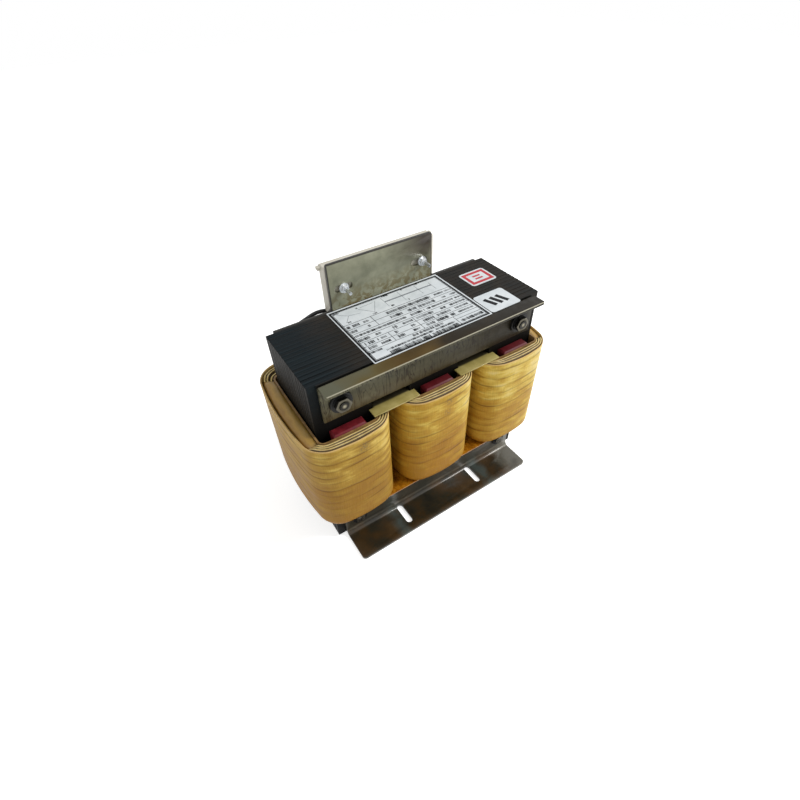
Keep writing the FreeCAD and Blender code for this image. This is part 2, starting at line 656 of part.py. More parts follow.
def fixings():
    upper_bolts, lower_bolts, nuts, washers, collars, sleeves = [], [], [], [], [], []
    bore = "(bolt_diameter / 2 + sleeve_clearance)"

    def collar(name, x, y, z, diameter):
        collars.append(tube(name, x, y, z, f"{diameter} / 2", bore, "collar_thickness"))

    def washer(name, x, y, z):
        washers.append(tube(name, x, y, z, "washer_diameter / 2", bore, "washer_thickness"))

    def nut(name, x, y, z):
        blank = hexagon(f"{name}_blank", x, y, z, "bolt_head_flats", "nut_height")
        nuts.append(cut(name, blank, rod(f"{name}_bore", x, y, z, bore, "nut_height")))

    def sleeve(name, x, y, z):
        sleeves.append(tube(name, x, y, z, "sleeve_diameter / 2", bore, f"2 * {y}"))

    for side_name, side in (("left", "-"), ("right", "")):
        x = f"{side}{BOLT_PLACE}"
        name = f"upper_{side_name}"
        collar_edge = f"({CLAMP_FRONT} + collar_thickness)"
        washer_edge = f"({CLAMP_FRONT} + collar_thickness + washer_thickness)"
        upper_bolts.append(clamp_bolt(f"{name}_bolt", x, UPPER_BOLT, CLAMP_FRONT))
        sleeve(f"{name}_sleeve", x, CLAMP_FRONT, UPPER_BOLT)
        collar(f"{name}_front_collar", x, f"-{CLAMP_FRONT}", UPPER_BOLT, "collar_diameter")
        collar(f"{name}_back_collar", x, collar_edge, UPPER_BOLT, "collar_diameter")
        washer(f"{name}_front_washer", x, f"-{collar_edge}", UPPER_BOLT)
        washer(f"{name}_back_washer", x, washer_edge, UPPER_BOLT)
        nut(f"{name}_nut", x, f"-{washer_edge}", UPPER_BOLT)
        name = f"lower_{side_name}"
        collar_edge = f"({FOOT_FRONT} + collar_thickness)"
        washer_edge = f"({FOOT_FRONT} + collar_thickness + washer_thickness)"
        lower_bolts.append(low_bolt(f"{name}_bolt", x, LOWER_BOLT, FOOT_FRONT))
        sleeve(f"{name}_sleeve", x, FOOT_FRONT, LOWER_BOLT)
        collar(f"{name}_front_collar", x, f"-{FOOT_FRONT}", LOWER_BOLT, "small_collar")
        collar(f"{name}_back_collar", x, collar_edge, LOWER_BOLT, "small_collar")
        washer(f"{name}_back_washer", x, washer_edge, LOWER_BOLT)
        nut(f"{name}_nut", x, f"{washer_edge} + nut_height", LOWER_BOLT)
    node("upper_clamp_bolts", *upper_bolts)
    node("lower_clamp_bolts", *lower_bolts)
    node("clamp_nuts", *nuts)
    node("clamp_washers", *washers)
    node("insulating_collars", *collars)
    node("bolt_sleeves", *sleeves)


# Coils

PHASES = (("left", "-leg_pitch", "left_coil_drop"), ("middle", "0", "0"), ("right", "leg_pitch", "0"))


def coil_loop(sketch, depth):
    """The coil's outline at a depth into its wall, from the tube's inside (0) to the outside."""
    share = f"({depth}) / coil_build"
    bowed_loop(
        sketch,
        side=f"(tube_side + {depth})",
        front=f"(tube_face + front_build * {share})",
        back=f"(tube_face + back_build * {share})",
        corner=f"(tube_corner + (coil_corner - tube_corner) * {share})",
        bow=f"(tube_bow + (coil_bow - tube_bow) * {share})",
        nose=f"(tube_bow + (coil_nose - tube_bow) * {share})",
    )


def coil_layer(name, centre, inside, outside, bottom, top, turned_in=None):
    """One ring of the coil wall, between two depths, with its bottom edge turned in if wanted."""
    body = new_body(name)
    outer = sketch_on(body, "XY_Plane", bottom)
    coil_loop(outer, outside)
    pad(body, outer, f"{top} - ({bottom})")
    if turned_in:
        floor = amount(bottom)
        dress(body, *turned_in, lambda edge: is_at(edge, z=floor))
    if inside is not None:
        inner = sketch_on(body, "XY_Plane", bottom)
        coil_loop(inner, inside)
        pocket(body, inner)
    place(body, x=centre)
    return body


def coil(phase, centre, drop):
    """Tube, inner winding, barrier, outer winding and the wrap that turns in under them."""
    coil_top = f"({COIL_TOP} - {drop})"
    wrap_floor = f"({COIL_BASE} + wrap_wall)"
    low_bottom = f"{wrap_floor} + 2 * fit_gap"
    high_bottom = f"{wrap_floor} + wrap_slope - wrap_start + high_edge + 2 * fit_gap"
    winding_top = f"{coil_top} - winding_margin"
    node(f"{phase}_coil_tube", coil_layer(
        f"{phase}_coil_tube", centre, "0", "tube_edge", COIL_BASE, coil_top))
    node(f"{phase}_low_voltage_winding", coil_layer(
        f"{phase}_low_voltage_winding", centre, "low_start", "low_edge", low_bottom, winding_top))
    node(f"{phase}_winding_barrier", coil_layer(
        f"{phase}_winding_barrier", centre, "barrier_start", "barrier_edge",
        f"{COIL_BASE} + fit_gap", f"{coil_top} - fit_gap"))
    node(f"{phase}_high_voltage_winding", coil_layer(
        f"{phase}_high_voltage_winding", centre, "high_start", "high_edge", high_bottom, winding_top))
    shell = coil_layer(f"{phase}_wrap_outside", centre, "high_start", "coil_build", COIL_BASE,
                       f"{coil_top} - wrap_drop", turned_in=("Fillet", "wrap_turn"))
    room = coil_layer(f"{phase}_wrap_inside", centre, None, "wrap_start", wrap_floor, coil_top,
                      turned_in=("Chamfer", "wrap_slope"))
    node(f"{phase}_coil_wrap", cut(f"{phase}_coil_wrap", shell, room))


# Wedges, strips and sheets about the coils

def leg_wedge(name, centre, drop, sign):
    """A wedge driven between the leg and its coil tube, thinner at the foot."""
    body = new_body(name)
    near = f"({CORE_FACE} + fit_gap)"
    foot, top = f"{COIL_BASE} + fit_gap", f"{COIL_TOP} - {drop} + wedge_rise"
    profile = sketch_on(body, "YZ_Plane")
    polygon(profile, (
        (f"{sign}{near}", foot), (f"{sign}{near}", top),
        (f"{sign}({near} + wedge_thickness)", top), (f"{sign}({near} + wedge_foot)", foot),
    ))
    pad(body, profile, "leg_width - 2 * wedge_inset", symmetric=True)
    level = amount(top)
    dress(body, "Chamfer", "wedge_chamfer", lambda edge: is_at(edge, z=level))
    return place(body, x=centre)


def window_strip(name, side, bottom, thickness, reach):
    """A sheet through the core's window with a wide head at the front and at the back."""
    body = new_body(name)
    centre = f"({side}leg_pitch / 2)"
    head, tongue = "(window_width / 2 + strip_overlap)", "(window_width / 2 - window_clearance)"
    near, far = f"({CORE_FACE} + insulation_thickness + fit_gap)", f"({CORE_FACE} + {reach})"
    right_half = [
        (head, f"-{far}"), (head, f"-{near}"), (tongue, f"-{near}"),
        (tongue, near), (head, near), (head, far),
    ]
    left_half = [(f"-{x}", y) for x, y in reversed(right_half)]
    sketch = sketch_on(body, "XY_Plane", bottom)
    polygon(sketch, right_half + left_half)
    pad(body, sketch, thickness)
    return place(body, x=centre)


def coil_packing():
    for face, sign in (("front", "-"), ("back", "")):
        node(f"{face}_leg_wedges", *[
            leg_wedge(f"{phase}_{face}_wedge", centre, drop, sign) for phase, centre, drop in PHASES])
    sides = (("left", "-"), ("right", ""))
    node("upper_barrier_strips", *[
        window_strip(f"{name}_strip", side, f"{COIL_TOP} + fit_gap", "strip_thickness", "strip_reach")
        for name, side in sides])
    node("lower_barrier_sheets", *[
        window_strip(f"{name}_sheet", side, f"{YOKE_TOP} + fit_gap", "sheet_thickness", "sheet_reach")
        for name, side in sides])


# Terminal block

TERMINALS = 6


def terminal_place(number):
    return f"(block_shift + ({number} - {(TERMINALS - 1) / 2}) * terminal_pitch)"


def terminal_block():
    body = new_body("terminal_block")
    outline = sketch_on(body, "XZ_Plane", f"-{BLOCK_BACK}")
    left, right = "(block_shift - block_length / 2)", "(block_shift + block_length / 2)"
    rectangle(outline, left, BLOCK_BOTTOM, right, BLOCK_TOP)
    pad(body, outline, "block_thickness")
    ends, top, back = (amount(left), amount(right)), amount(BLOCK_TOP), amount(BLOCK_BACK)
    dress(body, "Fillet", "block_rounding",
          lambda edge: is_at(edge, y=back) or any(is_at(edge, x=end, z=top) for end in ends))
    lugs = sketch_on(body, "XZ_Plane", f"-{BLOCK_BACK} + block_rounding")
    for end, outwards, inwards in ((left, "-", "+"), (right, "+", "-")):
        rectangle(lugs, f"{end} {inwards} lug_size", f"{BLOCK_TOP} - lug_size",
                  f"{end} {outwards} lug_size * 0.8", f"{BLOCK_TOP} - block_rounding")
    pad(body, lugs, "lug_size")
    chambers = sketch_on(body, "XZ_Plane", f"-({CLAMP_FRONT} + block_wall)")
    for number in range(TERMINALS):
        middle = terminal_place(number)
        rectangle(chambers, f"{middle} - chamber_width / 2", f"{BLOCK_BOTTOM} - block_wall",
                  f"{middle} + chamber_width / 2", f"{BLOCK_BOTTOM} + chamber_height")
    pocket_back(body, chambers, "block_thickness")
    screws = sketch_on(body, "XZ_Plane")
    heads = sketch_on(body, "XZ_Plane", f"-({BLOCK_BACK} - screw_head_height - fit_gap)")
    for side in "-+":
        circle(screws, f"block_shift {side} screw_spacing / 2", SCREW_LEVEL, "screw_diameter / 2 + fit_gap")
        circle(heads, f"block_shift {side} screw_spacing / 2", SCREW_LEVEL, "screw_head / 2 + fit_gap")
    pocket(body, screws)
    pocket_back(body, heads, "block_thickness")
    node("terminal_block", body)


def round_screw(name, x, y, z, head, head_height, shank, length):
    """A screw with a flat round head, from a point under its head towards -Y."""
    body = new_body(name)
    sketch = sketch_on(body, "XZ_Plane")
    polygon(sketch, (
        ("0", f"-({head_height})"), (f"{head} / 2", f"-({head_height})"), (f"{head} / 2", "0"),
        (f"{shank} / 2", "0"), (f"{shank} / 2", length), ("0", length),
    ))
    feature = body.newObject("PartDesign::Revolution", f"{name}_revolution")
    feature.Profile = sketch
    feature.ReferenceAxis = (sketch, ["V_Axis"])
    feature.Angle = 360
    along_y(body)
    return place(body, x, y, z)


def terminals():
    """A clamp in each chamber: the lead goes in from below and the screw bears on it from behind."""
    clamps, screws = [], []
    screw_level = f"({CLAMP_BLOCK_BOTTOM} + clamp_block_height * 0.55)"
    back = f"({CLAMP_BLOCK_Y} + clamp_block_depth)"
    for number in range(TERMINALS):
        middle = terminal_place(number)
        name = f"terminal_{number + 1}"
        blank = doc.addObject("Part::Box", f"{name}_blank")
        bind(blank, Length="clamp_block", Width="clamp_block_depth", Height="clamp_block_height")
        place(blank, f"{middle} - clamp_block / 2", CLAMP_BLOCK_Y, CLAMP_BLOCK_BOTTOM)
        wire_hole = doc.addObject("Part::Cylinder", f"{name}_wire_hole")
        bind(wire_hole, Radius="lead_diameter / 2 + fit_gap / 2", Height="lead_insert + fit_gap")
        place(wire_hole, middle, f"{CLAMP_BLOCK_Y} + clamp_block_depth / 2", CLAMP_BLOCK_BOTTOM)
        bore = rod(f"{name}_screw_hole", middle, back, screw_level, "terminal_screw / 2 + fit_gap / 2",
                   "clamp_block_depth / 2")
        clamps.append(cut(name, blank, wire_hole, bore))
        screws.append(round_screw(f"{name}_screw", middle, back, screw_level, "terminal_head",
                                  "terminal_head_height", "terminal_screw",
                                  "(clamp_block_depth - lead_diameter - fit_gap) / 2"))
    node("terminal_clamps", *clamps)
    node("terminal_screws", *screws)


def block_fixings():
    screws, washers, nuts = [], [], []
    seat = f"({BLOCK_BACK} - screw_head_height - fit_gap)"
    nut_front = f"({STEEL_BACK} - screw_washer_thickness - screw_nut_height)"
    for name, side in (("left", "-"), ("right", "+")):
        x = f"block_shift {side} screw_spacing / 2"
        screws.append(round_screw(f"{name}_block_screw", x, seat, SCREW_LEVEL, "screw_head",
                                  "screw_head_height", "screw_diameter", f"{seat} - {nut_front} + screw_end"))
        washers.append(tube(f"{name}_block_washer", x, STEEL_BACK, SCREW_LEVEL, "screw_washer / 2",
                            "screw_diameter / 2 + fit_gap", "screw_washer_thickness"))
        nut_back = f"{nut_front} + screw_nut_height"
        blank = hexagon(f"{name}_block_nut_blank", x, nut_back, SCREW_LEVEL, "screw_nut_flats",
                        "screw_nut_height")
        nuts.append(cut(f"{name}_block_nut", blank, rod(
            f"{name}_block_nut_bore", x, nut_back, SCREW_LEVEL, "screw_diameter / 2 + fit_gap / 2",
            "screw_nut_height")))
    node("block_screws", *screws)
    node("block_washers", *washers)
    node("block_nuts", *nuts)


# Lead wires

def bent_wire(points):
    """A path of straight runs joined by tangent arcs, and the radius of each arc."""
    edges, radii = [], []
    start = points[0]
    for before, corner, after in zip(points, points[1:], points[2:]):
        inward, outward = before - corner, after - corner
        shorter = min(inward.Length, outward.Length)
        turn = math.pi - inward.getAngle(outward)
        radius = 0.45 * shorter / math.tan(turn / 2)
        reach = 0.45 * shorter
        first = corner + FreeCAD.Vector(inward).normalize() * reach
        last = corner + FreeCAD.Vector(outward).normalize() * reach
        bisector = (FreeCAD.Vector(inward).normalize() + FreeCAD.Vector(outward).normalize()).normalize()
        centre = corner + bisector * (radius / math.cos(turn / 2))
        middle = centre - bisector * radius
        edges.append(Part.LineSegment(start, first).toShape())
        edges.append(Part.Arc(first, middle, last).toShape())
        start = last
        radii.append(radius)
    edges.append(Part.LineSegment(start, points[-1]).toShape())
    return Part.Wire(edges), radii


def lead(name, points):
    """One insulated lead swept along its route."""
    path, radii = bent_wire(points)
    radius = amount("lead_diameter") / 2
    heading = points[1] - points[0]
    section = Part.Wire(Part.Circle(points[0], heading, radius).toShape())
    solid = path.makePipeShell([section], True, False)
    thing = doc.addObject("Part::Feature", name)
    thing.Shape = solid
    drift = solid.Volume / (math.pi * radius**2 * path.Length) - 1
    print(f"{name}: radii {', '.join(f'{value:.1f}' for value in radii)} mm, volume off by {drift:.4%}")
    return thing


def leads():
    """Six leads from the backs of the coils up to the terminals, outermost terminals to the side coils."""
    pitch, top = amount("leg_pitch"), amount(f"{COIL_TOP} - winding_margin + fit_gap")
    high_start = amount("tube_face + back_build * (high_start + high_edge) / 2 / coil_build")
    low_start = amount("tube_face + back_build * (low_start + low_edge) / 2 / coil_build")
    entry_y = amount(f"{CLAMP_BLOCK_Y} + clamp_block_depth / 2")
    entry_z = amount(f"{CLAMP_BLOCK_BOTTOM} + lead_insert")
    below = amount(BLOCK_BOTTOM)

    def route(side, start_x, start_y, terminal, way, rise, drop="0"):
        """From a coil's top along the way, given for the right side, up into a terminal."""
        x = amount(terminal_place(terminal))
        first = FreeCAD.Vector(side * start_x, start_y, top - amount(drop))
        last = [FreeCAD.Vector(x, entry_y, below + rise), FreeCAD.Vector(x, entry_y, entry_z)]
        return [first] + [FreeCAD.Vector(side * px, py, pz) for px, py, pz in way] + last

    far_way = (
        (pitch + 9, high_start - 0.5, top + 17), (pitch - 1, high_start - 4.5, top + 31),
        (pitch - 15, high_start - 7.5, below - 11), (pitch - 35, high_start - 11, below - 6.8),
    )
    near_way = (
        (pitch - 13, low_start + 0.6, top + 15.5), (pitch - 19, low_start, top + 29),
        (pitch - 33, low_start - 2, below - 14.5), (pitch - 50, entry_y + 0.8, below - 12.4),
    )
    centre_far = ((6.4, high_start - 0.5, top + 17), (5.7, high_start - 7, top + 34))
    centre_near = ((6.3, low_start + 0.3, top + 17), (5.8, low_start - 1.5, top + 34))
    high = [
        lead("left_high_lead", route(-1, pitch + 11, high_start, 0, far_way, -7.4, "left_coil_drop")),
        lead("middle_high_lead", route(-1, 6, high_start, 2, centre_far, 3)),
        lead("right_high_lead", route(1, pitch + 11, high_start, 5, far_way, -7.4)),
    ]
    low = [
        lead("left_low_lead", route(-1, pitch - 12, low_start, 1, near_way, -11.6, "left_coil_drop")),
        lead("middle_low_lead", route(1, 6, low_start, 3, centre_near, 3)),
        lead("right_low_lead", route(1, pitch - 12, low_start, 4, near_way, -11.6)),
    ]
    node("high_voltage_leads", *high)
    node("low_voltage_leads", *low)


# Labels on top of the core

def label(name, x, y, length, depth, corner):
    """A thin sheet on the core's top, about a middle point."""
    body = new_body(name)
    sketch = sketch_on(body, "XY_Plane", CORE_TOP)
    across, along = f"{length} / 2", f"{depth} / 2"
    rectangle(sketch, f"{x} - {across}", f"{y} - {along}", f"{x} + {across}", f"{y} + {along}")
    pad(body, sketch, "label_thickness")
    dress(body, "Fillet", corner, lambda edge: abs(edge.Length - amount("label_thickness")) < 1e-6)
    node(name, body)


def labels():
    label("rating_label", "label_shift", f"({LABEL_DEPTH} / 2 - {CORE_FACE} - label_overhang)",
          LABEL_LENGTH, LABEL_DEPTH, "label_corner")
    label("square_sticker", f"({LABEL_END} + sticker_gap + square_sticker_size / 2)",
          f"(square_sticker_depth / 2 - {CORE_FACE} - square_sticker_overhang)",
          "square_sticker_size", "square_sticker_depth", "sticker_corner")
    label("small_sticker", "(core_length / 2 - small_sticker_inset - small_sticker_length / 2)",
          "small_sticker_setback",
          "small_sticker_length", "small_sticker_depth", "sticker_corner")


core()
upper_front_clamp()
upper_back_clamp()
foot_bracket("front_foot_bracket", "-")
foot_bracket("back_foot_bracket", "")
insulation()
fixings()
for phase, centre, drop in PHASES:
    coil(phase, centre, drop)
coil_packing()
terminal_block()
terminals()
block_fixings()
leads()
labels()

# Every object is checked before anything is written
doc.recompute()
faults = [item.Label for item in doc.Objects if "Invalid" in item.State or "Error" in item.State]
for piece in nodes:
    if piece.Shape.isNull() or not piece.Shape.isValid() or not piece.Shape.Solids:
        faults.append(piece.Label)
if faults:
    raise RuntimeError(f"these objects failed: {', '.join(faults)}")

os.makedirs("parts", exist_ok=True)
for piece in nodes:
    piece.Shape.exportStep(os.path.join("parts", f"{piece.Label}.step"))
print(f"{len(nodes)} nodes written")
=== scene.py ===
"""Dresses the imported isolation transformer: varnished steel, paper coils, hardware and labels."""

import math
from random import Random

import bmesh
import bpy
from mathutils import Euler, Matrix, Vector


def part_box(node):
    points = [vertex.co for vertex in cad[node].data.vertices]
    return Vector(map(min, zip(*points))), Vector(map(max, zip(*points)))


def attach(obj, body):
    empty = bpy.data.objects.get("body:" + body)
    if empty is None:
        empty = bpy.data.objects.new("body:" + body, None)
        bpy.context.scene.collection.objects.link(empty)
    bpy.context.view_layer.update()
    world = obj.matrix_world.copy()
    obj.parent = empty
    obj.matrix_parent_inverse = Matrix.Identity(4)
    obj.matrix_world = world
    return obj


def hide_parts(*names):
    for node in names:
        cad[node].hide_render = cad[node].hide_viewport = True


MM = 0.001

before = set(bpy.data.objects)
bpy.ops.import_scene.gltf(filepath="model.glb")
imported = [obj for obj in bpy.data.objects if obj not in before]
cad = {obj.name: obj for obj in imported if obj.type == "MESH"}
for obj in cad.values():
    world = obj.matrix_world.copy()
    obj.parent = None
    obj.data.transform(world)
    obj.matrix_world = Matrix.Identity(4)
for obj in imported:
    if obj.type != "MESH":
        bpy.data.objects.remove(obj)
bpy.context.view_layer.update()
bpy.context.scene.view_settings.view_transform = "Standard"


# Colour, node and material helpers

def linear(colour):
    """A sRGB hex colour as linear RGBA."""
    channels = [int(colour[place:place + 2], 16) / 255 for place in (1, 3, 5)]
    return tuple(c / 12.92 if c <= 0.04045 else ((c + 0.055) / 1.055) ** 2.4 for c in channels) + (1.0,)


def add(tree, kind, inputs=None, stops=None, **settings):
    """Adds a node: its settings, its inputs as values or other nodes' outputs, and a ramp's colour stops."""
    new = tree.nodes.new(kind)
    for name, value in settings.items():
        setattr(new, name, value)
    for key, value in (inputs or {}).items():
        if isinstance(value, bpy.types.NodeSocket):
            tree.links.new(value, new.inputs[key])
        else:
            new.inputs[key].default_value = value
    if stops:
        ramp = new.color_ramp
        ramp.elements[0].position, ramp.elements[-1].position = stops[0][0], stops[-1][0]
        for position, colour in stops[1:-1]:
            ramp.elements.new(position)
        for element, (position, colour) in zip(ramp.elements, stops):
            element.color = linear(colour)
    return new


def new_material(name, **surface):
    """A material whose shader takes its own constant values, and the place on the object for patterns."""
    material = bpy.data.materials.new(name)
    material.use_nodes = True
    tree = material.node_tree
    shader = tree.nodes["Principled BSDF"]
    for key, value in surface.items():
        shader.inputs[key.replace("_", " ")].default_value = value
    place = add(tree, "ShaderNodeTexCoord").outputs["Object"]
    return material, tree, shader, place


def patchy(name, stops, patch, stretch=(1, 1, 1), grain=0.6, relief=0.02, dull=(0.4, 0.6), **surface):
    """Colour patches of a size in mm, with a fine relief and a roughness that follows the patches."""
    material, tree, shader, place = new_material(name, **surface)
    drawn = add(tree, "ShaderNodeMapping", {"Vector": place, "Scale": stretch}).outputs[0]
    patches = add(tree, "ShaderNodeTexNoise", {
        "Vector": drawn, "Scale": 1 / (patch * MM), "Detail": 5.0, "Roughness": 0.6}).outputs["Fac"]
    colour = add(tree, "ShaderNodeValToRGB", {"Fac": patches}, stops).outputs["Color"]
    fine = add(tree, "ShaderNodeTexNoise", {
        "Vector": place, "Scale": 1 / (grain * MM), "Detail": 2.0}).outputs["Fac"]
    bump = add(tree, "ShaderNodeBump", {"Height": fine, "Distance": relief * MM}).outputs[0]
    rough = add(tree, "ShaderNodeMapRange", {
        "Value": patches, "From Min": 0.3, "From Max": 0.7, "To Min": dull[0], "To Max": dull[1]}).outputs[0]
    tree.links.new(colour, shader.inputs["Base Color"])
    tree.links.new(bump, shader.inputs["Normal"])
    tree.links.new(rough, shader.inputs["Roughness"])
    return material, tree, shader, place, colour


def tinted(tree, under, over, value, start, end, amounts):
    """A colour laid over another, by an amount that changes as a value goes from start to end."""
    share = add(tree, "ShaderNodeMapRange", {
        "Value": value, "From Min": start, "From Max": end, "To Min": amounts[0],
        "To Max": amounts[1]}).outputs[0]
    return add(tree, "ShaderNodeMixRGB", {"Fac": share, "Color1": under, "Color2": over}).outputs[0]


def paint(piece, material):
    """Gives a piece one material all over."""
    piece.data.materials.clear()
    piece.data.materials.append(material)


def placed(name, data):
    """A new object of the scene, at the origin."""
    thing = bpy.data.objects.new(name, data)
    bpy.context.scene.collection.objects.link(thing)
    return thing


def worked_out(thing):
    """The shape of an object as a plain mesh, with its modifiers or its curve worked out."""
    return bpy.data.meshes.new_from_object(thing.evaluated_get(bpy.context.evaluated_depsgraph_get()))


# Coil outline: a bowed loop that grows outwards from the tube, in mm

BUILD = 16.7
COIL_BOTTOM, WRAP_TOP = 46.7, 162.2
COILS = {"left": (-93, 2.7), "middle": (0, 0), "right": (93, 0)}


def coil_outline(depth):
    """The coil's loop at a depth outwards from the inside of its tube, with as many points at any depth."""
    swell = depth / BUILD
    side, front, back = 28.2 + depth, 51.2 + 11.7 * swell, 51.2 + 23.8 * swell
    corner, bow, nose = 5 + 20 * swell, 0.3 + 2.9 * swell, 0.3 + 1.2 * swell
    across, forward, rearward = side - bow - corner, front - nose - corner, back - nose - corner
    half, middle = (rearward + forward) / 2, (rearward - forward) / 2
    side_radius = corner + (half ** 2 + bow ** 2) / (2 * bow)
    nose_radius = corner + (across ** 2 + nose ** 2) / (2 * nose)
    side_turn = math.asin(half / (side_radius - corner))
    nose_turn = math.asin(across / (nose_radius - corner))
    side_centre, nose_centre = across + corner + bow - side_radius, corner + nose - nose_radius
    quarter = math.pi / 2
    arcs = [
        (side_centre, middle, side_radius, -side_turn, side_turn, 46),
        (across, rearward, corner, side_turn, quarter - nose_turn, 16),
        (0, rearward + nose_centre, nose_radius, quarter - nose_turn, quarter + nose_turn, 22),
        (-across, rearward, corner, quarter + nose_turn, 2 * quarter - side_turn, 16),
        (-side_centre, middle, side_radius, 2 * quarter - side_turn, 2 * quarter + side_turn, 46),
        (-across, -forward, corner, 2 * quarter + side_turn, 3 * quarter - nose_turn, 16),
        (0, -forward - nose_centre, nose_radius, 3 * quarter - nose_turn, 3 * quarter + nose_turn, 22),
        (across, -forward, corner, 3 * quarter + nose_turn, 4 * quarter - side_turn, 16)]
    return [
        Vector((x + radius * math.cos(start + (end - start) * step / steps),
                y + radius * math.sin(start + (end - start) * step / steps)))
        for x, y, radius, start, end, steps in arcs for step in range(steps)]


TUBE_LOOP, WRAP_LOOP = coil_outline(0), coil_outline(BUILD)
COLUMNS = len(WRAP_LOOP)
RUN = [0.0]
for column in range(COLUMNS):
    RUN.append(RUN[-1] + (WRAP_LOOP[(column + 1) % COLUMNS] - WRAP_LOOP[column]).length)


def coil_point(column, depth, z, centre):
    flat = TUBE_LOOP[column].lerp(WRAP_LOOP[column], depth / BUILD)
    return Vector((flat.x + centre, flat.y, z)) * MM


def side_share(column):
    """1 on a coil's long sides and 0 on its front and back, with a smooth change round the corners."""
    reach = abs(WRAP_LOOP[column].x) / (28.2 + BUILD)
    share = min(1, max(0, (reach - 0.80) / 0.16))
    return share * share * (3 - 2 * share)


def ripple(column, waves):
    """A wavy line round the coil, from (waves round the coil, height, start) rows."""
    turn = 2 * math.pi * RUN[column] / RUN[-1]
    return sum(height * math.sin(count * turn + start) for count, height, start in waves)


def swept(name, rows, material, marks=()):
    """A closed skin through rows of points round a coil, with an unrolled UV map and a value of each mark."""
    points = [point for row in rows for point in row["points"]]
    faces = [
        (row * COLUMNS + column, ((row + 1) % len(rows)) * COLUMNS + column,
         ((row + 1) % len(rows)) * COLUMNS + (column + 1) % COLUMNS, row * COLUMNS + (column + 1) % COLUMNS)
        for row in range(len(rows)) for column in range(COLUMNS)]
    mesh = bpy.data.meshes.new(name)
    mesh.from_pydata(points, [], faces)
    for mark in marks:
        values = mesh.attributes.new(mark, "FLOAT", "POINT")
        values.data.foreach_set("value", [value for row in rows for value in row[mark]])
    unrolled = mesh.uv_layers.new(name="unrolled")
    for face in mesh.polygons:
        last = face.index % COLUMNS == COLUMNS - 1
        for loop in face.loop_indices:
            vertex = mesh.loops[loop].vertex_index
            column = vertex % COLUMNS
            unrolled.data[loop].uv = (RUN[-1 if last and column == 0 else column] * MM, points[vertex].z)
    piece = placed(name, mesh)
    form = bmesh.new()
    form.from_mesh(mesh)
    bmesh.ops.recalc_face_normals(form, faces=form.faces)
    form.to_mesh(mesh)
    form.free()
    mesh.shade_smooth()
    paint(piece, material)
    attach(piece, "root")
    return piece


# Steel finishes

# Where they change, in metres: edges of the CAD pieces, then sizes that no box gives
CORE_END, CORE_SIDE, CORE_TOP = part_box("core_i_stack")[1]
LABEL_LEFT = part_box("rating_label")[0][0]
CLAMP_FRONT, CLAMP_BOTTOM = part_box("upper_front_clamp")[0][1:]
CLAMP_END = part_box("upper_front_clamp")[1][0]
PLATE_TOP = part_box("upper_back_clamp")[1][2]
NUT_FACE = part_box("clamp_nuts")[1][1]
PLATE_SIDE = 55.1 * MM
SLOT_PLACE = 58 * MM
BOLT_PLACE, BOLT_HEIGHT = 95.5 * MM, 191.5 * MM
PACKET, SHEET = 5 * MM, 1.0 * MM

